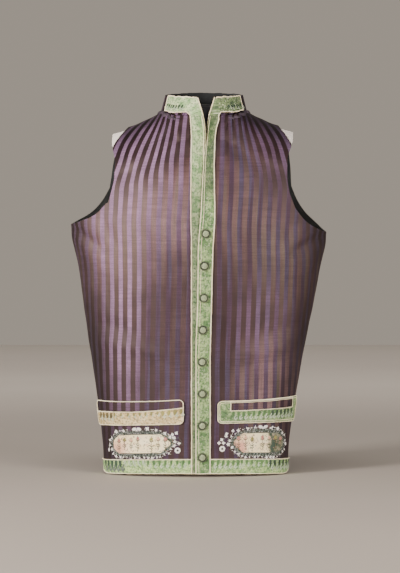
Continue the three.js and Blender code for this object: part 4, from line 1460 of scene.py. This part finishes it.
def addCords(name, paths):
    # paths are (line, width)
    items = [item for path, width in paths for item in cordItems(path, width)]
    motifPiece(name, items, "cord", segments=6, rings=5, turn=cord["turn"] * degrees)
    long = sum((q[0] - p[0]).length for path, width in paths for p, q in zip(path, path[1:]))
    print(f"{name}: {long:.0f} mm of cord")


def lineOn(panel, places, lift):
    # a line of (column, row) places, moved out from the cloth
    path = []
    for column, row in places:
        point, out = surfaceAt(panel, column, row)
        path.append((point + out * lift, out))
    return path


def flatLine(panel, places, lift):
    # the same from flat distances
    return lineOn(panel, [(columnFrom(panel, across, up), up) for across, up in places], lift)


edgeCords = {  # down each front's edge: column, how far from the ribbon's face, width, from which row
    "right": [(0, -0.35, 2.1, 0), (-1, -1.3, 2.2, 432), (-0.86, 0.0, 1.5, 432)],
    "left": [(0, -0.35, 2.1, 0), (-1, -1.3, 1.9, 0), (-0.8, 0.0, 0.9, 0)],
}
# along the hem: height, first column, how many steps, how far from the ribbon's face, width
hemCords = [("hemBand", 0, 90, -0.3, 1.7), ("hem", -1, 96, -1.2, 1.8)]


def addFrontCords(panel):
    paths = []
    for column, lift, width, start in edgeCords[panel["name"]]:
        rows = [row for row in panelRows(panel) if row > start]
        paths.append((lineOn(panel, [(column, row) for row in rows], trimFace + lift), width))
    for height, first, count, lift, width in hemCords:
        places = [(column, heights[height]) for column in steps(first, 14, count)]
        paths.append((lineOn(panel, places, trimFace + lift), width))
    addCords(pieceName("frontCord", panel), paths)


def closedLine(panel, corners, least):
    # a closed line through flat corners, in steps of about 5 mm, which sags with the flap
    first, last = flapEnds(panel)
    fine = []
    for (x0, y0), (x1, y1) in zip(corners, corners[1:] + corners[:1]):
        count = max(least, round(math.hypot(x1 - x0, y1 - y0) / 5))
        fine += [(between(x0, x1, k / count), between(y0, y1, k / count)) for k in range(count)]
    return [(x, flapSag(panel, (x - first) / (last - first), y)) for x, y in fine + fine[:1]]


def flapOutline(panel, inset):
    corner = flaps["corner"] - inset
    first, last = flapEnds(panel)
    a, b = first + inset + corner, last - inset - corner
    low, high = flaps["foot"] + inset + corner, flaps["top"] - inset - corner
    places = []
    for x, y, start in ((a, low, 180), (b, low, 270), (b, high, 0), (a, high, 90)):
        for k in range(7):
            turn = (start + k * 15) * degrees
            places.append((x + corner * math.cos(turn), y + corner * math.sin(turn)))
    return closedLine(panel, places, 1)


def addFlapCords(panel):
    paths = [(flatLine(panel, flapOutline(panel, 0.2), flapFace + 0.1), 1.7)]
    if panel["laps"]:
        first, last = flapEnds(panel)
        a, b = first + flaps["arm"]["front"], last - flaps["arm"]["side"]
        low, high = flaps["trim"], flaps["top"] - 1
        window = closedLine(panel, [(a, high), (a, low), (b, low), (b, high)], 3)
        paths.append((flatLine(panel, flapOutline(panel, 3.0), flapTrimFace), 1.1))
        paths.append((flatLine(panel, window, flapTrimFace - 0.3), 1.5))
    else:
        line = [flapPlace(panel, t, ribbonLine(t)) for t in steps(0, 1, flaps["cells"])]
        paths.append((flatLine(panel, line, flapTrimFace - 0.3), 1.6))
    addCords(pieceName("flapCord", panel), paths)


def collarPath(cells, t, lift):
    path = []
    for k, (column, foot, top) in enumerate(cells):
        ahead = cells[min(k + 1, len(cells) - 1)]
        behind = cells[max(k - 1, 0)]
        side = ahead[1].lerp(ahead[2], t) - behind[1].lerp(behind[2], t)
        out = (top - foot).cross(side).normalized()
        point = foot.lerp(top, between(collarRise(column), 1, t))
        path.append((point + out * lift, out))
    return path


def addCollarCords():
    for side, cells in collarEnds.items():
        wavy = []
        for k, (point, out) in enumerate(collarPath(cells, 1, 1.3)):
            lift = 0.4 * math.sin(k * 1.35) + 0.25 * math.sin(k * 0.61 + 1)
            wavy.append((point + Vector((0, 0, lift)), out))
        paths = [(wavy, 2.2), (collarPath([c for c in cells if c[0] >= 0], 0.0, 1.7), 2.0)]
        widths = (2.1, 1.9) if side == "right" else (1.9, 2.1)  # the end by the front edge is the thicker
        ends = ((cells[0], cells[1], -1), (cells[-1], cells[-2], 1))
        for ((_, foot, top), (_, near, _), way), width in zip(ends, widths):
            out = (top - foot).cross((foot - near) * way).normalized()
            paths.append(([(foot.lerp(top, t) + out * 1.5, out) for t in steps(0, 1, 8)], width))
        addCords("collarCord" + side.capitalize(), paths)


for panel in fronts:
    addFrontCords(panel)
    addFlapCords(panel)
addCollarCords()
print("cords laid")


# leaves on the ribbons, and the wreaths round the patches

button = {
    "count": 8, "first": 28, "pitch": 49.3, "column": -0.56, "sides": 40, "wobble": 0.10, "lean": 0.05,
    "foot": 0.3, "seed": 40, "turn": 0.13,  # the turn is from one button's weave to the next one's
}
buttonHeights = [button["first"] + n * button["pitch"] for n in range(button["count"])]
leaf = {
    "wide": 7.2, "long": 11.4, "thick": 0.9, "taper": 0.85, "hang": 5.2, "seed": 7,
    "beside": [(4.1, 2.4, -0.35), (2.0, 5.6, -0.15), (5.2, 6.4, -0.7), (3.6, 7.8, 0.5)],  # across, down, turn
    "pale": (2.8, 5.6, 0.6),  # the size of those beside
    "mitre": ((3, 19), (20, 1), 16),  # from and to, along and below the ribbon's edge, and how many stitches
}
bandMarks = {  # dark marks down the two front ribbons: column and spacing, and their size
    "right": (-0.2, 8.2), "left": (-0.82, 12.4), "from": 34.0, "to": 400,
    "wide": 2.1, "long": (2.6, 4.6), "thick": 0.6,
}
buttonhole = {"column": -0.24, "size": (1.7, 5.0, 0.8)}
leafRows = [  # ribbon, front, from and to in millimetres from the inner end, spacing, size, threads
    ("flap", "right", 119, 144, 7.6, 0.95, "brownThread"),
    ("flap", "right", 88, 112, 10.0, 0.6, "strawThread"),
    ("flap", "right", 40, 78, 9.5, 0.6, "strawThread"),
    ("flap", "right", 4, 32, 8.6, 0.85, "strawThread"),
    ("flap", "left", 88, 128, 8.4, 1.0, "greenThread"),
    ("flap", "left", 24, 82, 8.4, 0.95, "leafThread"),
    ("hem", "right", 116, 150, 8.2, 1.25, "greenThread", "greyThread"),
    ("hem", "right", 76, 108, 8.0, 0.7, "mintThread"),
    ("hem", "right", 4, 68, 8.6, 0.9, "leafThread"),
    ("hem", "left", 98, 144, 9.0, 1.15, "greenThread"),
    ("hem", "left", 50, 92, 8.6, 0.75, "leafThread"),
    ("hem", "left", 4, 44, 8.4, 1.0, "leafThread"),
]
threads = {}  # stitches that wait to be worked, by thread


def stitch(thread, point, out, along, wide, long, thick):
    threads.setdefault(thread, []).append((point + out * (thick * 0.25), out, along, (wide, long, thick)))


def laidOn(out, way):
    # the part of a direction that lies on the cloth
    return (way - out * way.dot(out)).normalized()


def turnedWay(out, along, turn):
    # a direction on the cloth, turned from along towards the side
    return (along * math.cos(turn) + out.cross(along) * math.sin(turn)).normalized()


def hangLeaf(thread, point, out, share, pale="mintThread"):
    # a pointed leaf under the ribbon's edge, and slanting pale ones beside it
    down = laidOn(out, Vector((0, 0, -1)))
    way = turnedWay(out, down, random.uniform(-0.22, 0.22))
    long = leaf["long"] * share * random.uniform(0.88, 1.08)
    stitch(thread, point, out, way, leaf["wide"] * share, long, leaf["thick"])
    side = out.cross(down)
    wide, long, thick = leaf["pale"]
    for across, low, turn in leaf["beside"]:
        place = point + side * across * share + down * low * share
        stitch(pale, place, out, turnedWay(out, down, turn), wide * share, long * share, thick)


def ribbonPlace(ribbon, panel, along, depth):
    # a place that far along a flap's or hem's ribbon and that far below its upper edge, on its face
    across, up, face = along, heights["hemBand"], trimFace
    if ribbon == "flap":
        first, last = flapEnds(panel)
        t = along / (last - first)
        across, up = flapPlace(panel, t, flaps["trim"] if panel["laps"] else ribbonLine(t))
        face = trimFace + layers["flap"] + layers["gap"]
    point, out = clothAt(panel, across, up - depth)
    return point + out * face, out


def addLeaves():
    random.seed(leaf["seed"])
    for ribbon, side, start, end, gap, share, thread, *pale in leafRows:
        panel = rightFront if side == "right" else leftFront
        for along in steps(start, end, round((end - start) / gap)):
            hangLeaf(thread, *ribbonPlace(ribbon, panel, along, leaf["hang"] * share + 0.8), share, *pale)
    start, end, count = leaf["mitre"]
    for share in steps(0, 1, count - 1):  # the mitred seam in the corner of the left flap's ribbon
        place = [between(a, b, share) for a, b in zip(start, end)]
        stitch("greenThread", *ribbonPlace("flap", leftFront, *place), Vector((0.7, 0, 0.7)), 0.7, 2.0, 0.5)
    for cells in collarEnds.values():
        cells = [c for c in cells if c[0] > collar["leafColumn"]]
        line = collarPath(cells, collar["leafHigh"], trimFace)
        for point, out, along in spacedPath(line, collar["leafGap"]):
            hangLeaf("greenThread", point, out, collar["leafSize"])
    sideways = Vector((1, 0, 0))
    for up in buttonHeights:  # the worked end of each buttonhole
        point, out = surfaceAt(leftFront, buttonhole["column"], up)
        stitch("greenThread", point + out * trimFace, out, sideways, *buttonhole["size"])
    for panel in fronts:
        column, gap = bandMarks[panel["name"]]
        row = bandMarks["from"]
        while row < bandMarks["to"]:
            point, out = surfaceAt(panel, column, row)
            way = turnedWay(out, sideways, random.uniform(-0.7, 0.7))
            size = bandMarks["wide"], random.uniform(*bandMarks["long"]), bandMarks["thick"]
            stitch("greenThread", point + out * trimFace, out, way, *size)
            row += gap * random.uniform(0.8, 1.25)


wreath = {
    "bands": (2.2, 4.8), "bandGap": 2.7, "flowers": 8.2, "flowerGap": 7.0, "flower": 3.0, "clear": 12.5,
    "bow": 4.16, "rose": 3.2, "above": 12, "bandSide": 0.9, "slant": 0.65,
    "bowAt": {"right": 6, "left": 5}, "roseAt": {"right": (-49, -11), "left": (-56, -9)},
    "dropAt": {"right": (60, -9), "left": (53, -2)},
    "sprig": {
        "right": [(-37, 10), (-41, 14), (-47, 16), (-44, 9), (-45, 3), (-51, 0), (-43, -4)],
        "left": [(-39, 18), (-49, 14), (-50, 10), (-57, 5), (-61, 0), (-54, 0), (-47, -2)],
    },
    "stem": [(-42, 2), (-45, 6), (-50, 9), (-54, 4), (-56, -3)],
}
sizes = {  # width, length and thickness of the wreaths' stitches
    "edge": (0.8, 1.3, 0.9), "slanting": (1.7, 3.9, 0.9), "point": (1.0, 1.0, 1.1), "bud": (1.8, 2.2, 1.2),
    "budLeaf": (1.0, 2.8, 0.8), "leaflet": (1.0, 2.6, 0.8), "grain": (1.2, 1.4, 1.0), "bow": (6.0, 8.4, 1.8),
    "knot": (3.4, 3.4, 1.8), "drop": (3.8, 6.4, 1.7), "petal": (3.2, 4.8, 1.6), "heart": (2.2, 1.6, 1.4),
    "stem": (0.7, 1.6, 0.7),
}
wreath["top"] = medallion["high"] + wreath["flowers"] + 0.6


def patchOutline(half, out):
    # the patch's edge, moved out and with its corners rounded
    m = medallion
    high = m["high"] + out
    left, right = -half + m["cut"] - out * 0.3, half - m["cutSide"] + out * 0.4
    end, blunt = half + out, m["blunt"]
    corners = [(-half - out * 1.5, 0), (left, high), (right, high), (end, blunt)]
    corners += [(x, -y) for x, y in corners[:0:-1]]
    for n in range(3):
        cut = []
        for (x0, y0), (x1, y1) in zip(corners, corners[1:] + corners[:1]):
            cut += [(between(x0, x1, share), between(y0, y1, share)) for share in (0.2, 0.8)]
        corners = cut
    return corners + corners[:1]


def wreathLine(panel, out, lift):
    middle, level, half = medallionFrame(panel)
    return flatLine(panel, [(middle + s, level + t) for s, t in patchOutline(half, out)], lift)


def wreathPlace(panel, s, t, lift=1.0):
    middle, level, half = medallionFrame(panel)
    if s < 0:
        s += medallion["plainHalf"] - half  # the sprigs keep their distance from the tip
    point, out = clothAt(panel, middle + s, level + t)
    return point + out * lift, out, laidOn(out, Vector((panel["side"], 0, 0)))


def flower(place, radius, petals, thread="whiteThread"):
    point, out, along = place
    spin = random.uniform(0, 6)
    for k in range(petals):
        way = turnedWay(out, along, spin + k * 2 * math.pi / petals)
        size = radius * random.uniform(0.85, 1.15)
        stitch(thread, point + way * size * 0.55, out, way, size * 0.85, size * 1.05, 1.0)
    stitch("strawThread", point, out, along, radius * 0.42, radius * 0.42, 1.3)


def addBorder(panel):
    # a fine grey edge, and round it two bands of slanting stitches with pale points among them
    for point, out, along in spacedPath(wreathLine(panel, 0.3, 1.6), 0.7):
        stitch("greyThread", point, out, along, *sizes["edge"])
    for band in wreath["bands"]:
        for k, (point, out, along) in enumerate(spacedPath(wreathLine(panel, band, 0.9), wreath["bandGap"])):
            for sign in (-1, 1):
                side = out.cross(along) * sign * wreath["bandSide"]
                way = turnedWay(out, along, sign * wreath["slant"])
                stitch("greyThread" if k % 2 else "greenThread", point + side, out, way, *sizes["slanting"])
            if random.random() < 0.5:
                stitch("whiteThread", point + along * 1.4, out, along, *sizes["point"])


def addGarland(panel):
    # flowers all round, with buds between them above; room is left for the bow
    top = wreathPlace(panel, wreath["bowAt"][panel["name"]], wreath["top"])[0]
    line = wreathLine(panel, wreath["flowers"], 0.9)
    for k, (point, out, along) in enumerate(spacedPath(line, wreath["flowerGap"])):
        if (point - top).length < wreath["clear"]:
            continue
        above = point.z > top.z - wreath["above"]
        if above and k % 2:
            stitch("whiteThread", point, out, along, *sizes["bud"])
            stitch("mintThread", point + along * 2.2, out, turnedWay(out, along, 0.9), *sizes["budLeaf"])
            continue
        point = point + out.cross(along) * random.uniform(-1.9, 1.9) + along * random.uniform(-1.2, 1.2)
        radius = wreath["flower"] * (random.uniform(0.75, 1.15) if above else random.uniform(0.45, 0.9))
        flower((point, out, along), radius, random.choice((3, 3, 4, 5)))
        for sign in (-1, 1):
            way = turnedWay(out, along, sign * random.uniform(0.9, 2.2))
            stitch("mintThread", point + way * 3.1, out, way, *sizes["leaflet"])
        grain = point + along * 4.1 + out.cross(along) * random.uniform(-1.8, 1.8)
        stitch("whiteThread", grain, out, along, *sizes["grain"])


def addSingles(panel):
    # the bow above, the drop at one end, and the rose with its sprigs and stem at the other
    name = panel["name"]
    bowAt = wreath["bowAt"][name]
    for sign in (-1, 1):
        point, out, along = wreathPlace(panel, bowAt + sign * wreath["bow"], wreath["top"])
        stitch("whiteThread", point, out, turnedWay(out, along, sign * 0.3), *sizes["bow"])
    stitch("whiteThread", *wreathPlace(panel, bowAt, wreath["top"] - 1.8), *sizes["knot"])
    point, out, along = wreathPlace(panel, *wreath["dropAt"][name])
    stitch("whiteThread", point, out, turnedWay(out, along, 1.6), *sizes["drop"])
    for s, t in wreath["sprig"][name]:
        flower(wreathPlace(panel, s, t), 2.6, 4)
    point, out, along = wreathPlace(panel, *wreath["roseAt"][name])
    for k in range(7):
        way = turnedWay(out, along, k * 2 * math.pi / 7)
        stitch("whiteThread", point + way * wreath["rose"], out, turnedWay(out, way, 1.2), *sizes["petal"])
    stitch("greyThread", point + out * 0.3, out, along, *sizes["heart"])
    for start, end in zip(wreath["stem"], wreath["stem"][1:]):
        a, out, along = wreathPlace(panel, *start, 0.9)
        b = wreathPlace(panel, *end, 0.9)[0]
        for place in spacedPath([(a, out), (b, out)], 1.3):
            stitch("greyThread", *place, *sizes["stem"])


patchDesign = {  # little upright sprigs in a row, with seeds between them
    "sprigs": [(-30, 0), (-19, 1), (-8, -1), (4, 1), (16, 0), (28, 1), (38, -1)], "tall": 21, "joints": 7,
    "buds": ["pinkThread", "peachThread", "strawThread"], "seeds": 120, "clear": (6, 5, 2),
    "seedThreads": ("pinkThread", "peachThread", "brownThread", "strawThread", "greenThread"),
}


def addSprig(panel, s, t, bud):
    point, out, along = wreathPlace(panel, s, t, trimFace)
    rise = out.cross(along)
    if rise.z < 0:
        rise.negate()
    tall = patchDesign["tall"] * random.uniform(0.85, 1.1)
    for n, share in enumerate(steps(-0.5, 0.5, patchDesign["joints"] - 1)):
        place = point + rise * tall * share
        stitch("brownThread", place, out, turnedWay(out, rise, 0.2 * math.sin(n)), 1.2, tall / 6, 0.6)
        for sign in (-1, 1) if n in (1, 2, 4) else ():
            way = turnedWay(out, rise, sign * 0.9)
            stitch("greenThread" if n < 4 else "brownThread", place + way * 2.4, out, way, 1.8, 4.4, 0.6)
    flower((point + rise * tall * 0.36, out, along), 3.0, 5, bud)


def addPatchDesign(panel):
    buds = patchDesign["buds"]
    for k, (s, t) in enumerate(patchDesign["sprigs"]):
        addSprig(panel, s, t, buds[k % len(buds)])
    half = medallionFrame(panel)[2]
    tip, end, edge = patchDesign["clear"]
    for n in range(patchDesign["seeds"]):
        s = random.uniform(-half + tip, half - end)
        t = random.uniform(-1, 1) * (medallionHigh(s, half) - edge)
        point, out, along = wreathPlace(panel, s, t, trimFace)
        thread = random.choice(patchDesign["seedThreads"])
        way = turnedWay(out, along, random.uniform(0, 3))
        stitch(thread, point, out, way, 0.8, random.uniform(1.4, 2.8), 0.5)


addLeaves()
for panel in fronts:
    addBorder(panel)
    addGarland(panel)
    addSingles(panel)
    addPatchDesign(panel)
for thread, items in threads.items():
    taper = leaf["taper"] if thread in ("greenThread", "leafThread", "mintThread") else 0.25
    motifPiece(thread.replace("Thread", "Stitches"), items, thread, taper=taper)
    print(thread, len(items))
print("embroidery worked")


# buttons

buttonProfile = [  # from the middle of the crown down to the foot: radius, height
    (0.0, 5.0), (1.4, 4.95), (2.8, 4.6), (3.9, 3.9), (4.6, 2.9), (5.0, 2.2), (5.35, 2.15),
    (5.8, 2.6), (6.5, 2.75), (7.1, 2.3), (7.5, 1.4), (7.3, 0.5), (6.6, 0.0), (0.0, 0.0),
]


def buttonPoints(foot, out, seed):
    # the turned profile, a little out of true, with its flat places: turn and radius
    random.seed(seed)
    lean = [random.uniform(-button["lean"], button["lean"]) for n in range(2)]
    out = (out + Vector((lean[0], 0, lean[1]))).normalized()
    sideways = out.cross(Vector((0, 0, 1))).normalized()
    rise = sideways.cross(out)
    spin = random.uniform(0, 6)
    for radius, height in buttonProfile:
        for k in range(button["sides"]):
            share = k / button["sides"]
            turn = 2 * math.pi * share
            way = sideways * math.cos(turn) + rise * math.sin(turn)
            ripple = math.sin(8 * turn + radius * 1.4 + spin) * min(1, radius / 3) if radius < 7 else 0.0
            yield foot + way * radius + out * (height + button["wobble"] * ripple), share, radius


def addButtons():
    points = []
    faces = []
    uvs = []
    for n, up in enumerate(buttonHeights):
        foot, out = surfaceAt(leftFront, button["column"], up)
        rings = ringFaces(len(buttonProfile) - 1, button["sides"], len(points))
        faces += [(a, d, c, b) for a, b, c, d in rings]
        foot += out * (trimFace + button["foot"])
        for point, share, radius in buttonPoints(foot, out, button["seed"] + n):
            points.append(point)
            uvs.append((1000 * (share + n * button["turn"]), radius))
    piece = newPiece("buttons", points, faces, "button", uvs, sharp=60)
    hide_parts(*[f"button_{n + 1}" for n in range(button["count"])])


addButtons()
print("buttons made")

# camera and studio

camera = {"away": 3200, "right": 2.4, "height": 292, "lens": 127.0, "sensor": 36}
lights = [  # name, place, aim, width, height, power, colour
    ("keyLight", (-2.05, -2.0, 0.62), (0, 0, 0.36), 0.6, 0.6, 125, "#fff4ec"),
    ("fillLight", (1.35, -1.25, 0.16), (0.1, 0, 0.16), 0.6, 0.4, 17, "#fff2e8"),
    ("sideLight", (1.9, -2.3, 0.75), (0.05, 0, 0.45), 0.9, 0.9, 32, "#fff6f0"),
    ("topLight", (-0.1, -0.7, 1.9), (0, 0, 0.55), 0.8, 0.5, 8, "#fff6ee"),
    ("floorLight", (0, 2.7, 2.4), (0, 4.6, 0), 7.0, 2.4, 85, "#fff8f2"),
]
studio = {
    "sky": "#d9d2ca", "skyPower": 0.26, "floor": "#c6bdb3", "floorPale": "#cec6bc", "floorSize": 14.0,
    "floorPaintedLight": (3.5, 7.2, 1.0, 1.75),  # from here to here in metres the board gets lighter: painted light towards the back
    "backdrop": "#a1988d", "backdropEdge": (0.86, 0.97),  # a round part of the sky behind the garment
}


def addCamera():
    data = bpy.data.cameras.new("camera")
    data.sensor_width = camera["sensor"]
    data.lens = camera["lens"]
    piece = linkPiece("camera", data)
    piece.location = (Vector((camera["right"], -camera["away"], camera["height"])) + standAt) * mm
    piece.rotation_euler = (90 * degrees, 0, 0)
    bpy.context.scene.camera = piece


def addLight(name, at, aim, wide, high, power, colour):
    data = bpy.data.lights.new(name, "AREA")
    data.shape = "RECTANGLE"
    data.size = wide
    data.size_y = high
    data.energy = power
    data.color = linearColour(colour)[:3]
    piece = linkPiece(name, data)
    piece.location = at
    piece.rotation_euler = (Vector(aim) - Vector(at)).to_track_quat("-Z", "Y").to_euler()


def addSky():
    world = bpy.data.worlds.new("studio")
    world.use_nodes = True
    tree = world.node_tree
    node = nodesOf(tree)
    away = node("y", addNode(tree, "ShaderNodeTexCoord"))
    sky = (*[part * studio["skyPower"] for part in linearColour(studio["sky"])[:3]], 1.0)
    colour = node("mix", node("ramp", away, *studio["backdropEdge"]), sky, studio["backdrop"])
    tree.links.new(colour, tree.nodes["Background"].inputs["Color"])
    bpy.context.scene.world = world


def paintedFloor(name):
    # matte seamless board, with painted light that grows towards the back
    material, tree = newMaterial(name)
    node = nodesOf(tree)
    place = node("place")
    colour = node("mix", node("noise", place, 1.5, 2.0, 0.55), studio["floor"], studio["floorPale"])
    light = node("ramp", node("y", place), *studio["floorPaintedLight"])
    return finished(material, shaded(tree, colour, light), Roughness=0.9, Specular_IOR_Level=0.2)


def addFloor():
    half = studio["floorSize"] / 2
    mesh = bpy.data.meshes.new("floor")
    corners = [(-half, -half, 0), (half, -half, 0), (half, half, 0), (-half, half, 0)]
    mesh.from_pydata(corners, [], [(0, 1, 2, 3)])
    mesh.materials.append(paintedFloor("mattePaintedBoard"))
    linkPiece("floor", mesh)


addCamera()
for light in lights:
    addLight(*light)
addSky()
addFloor()
print("studio set")
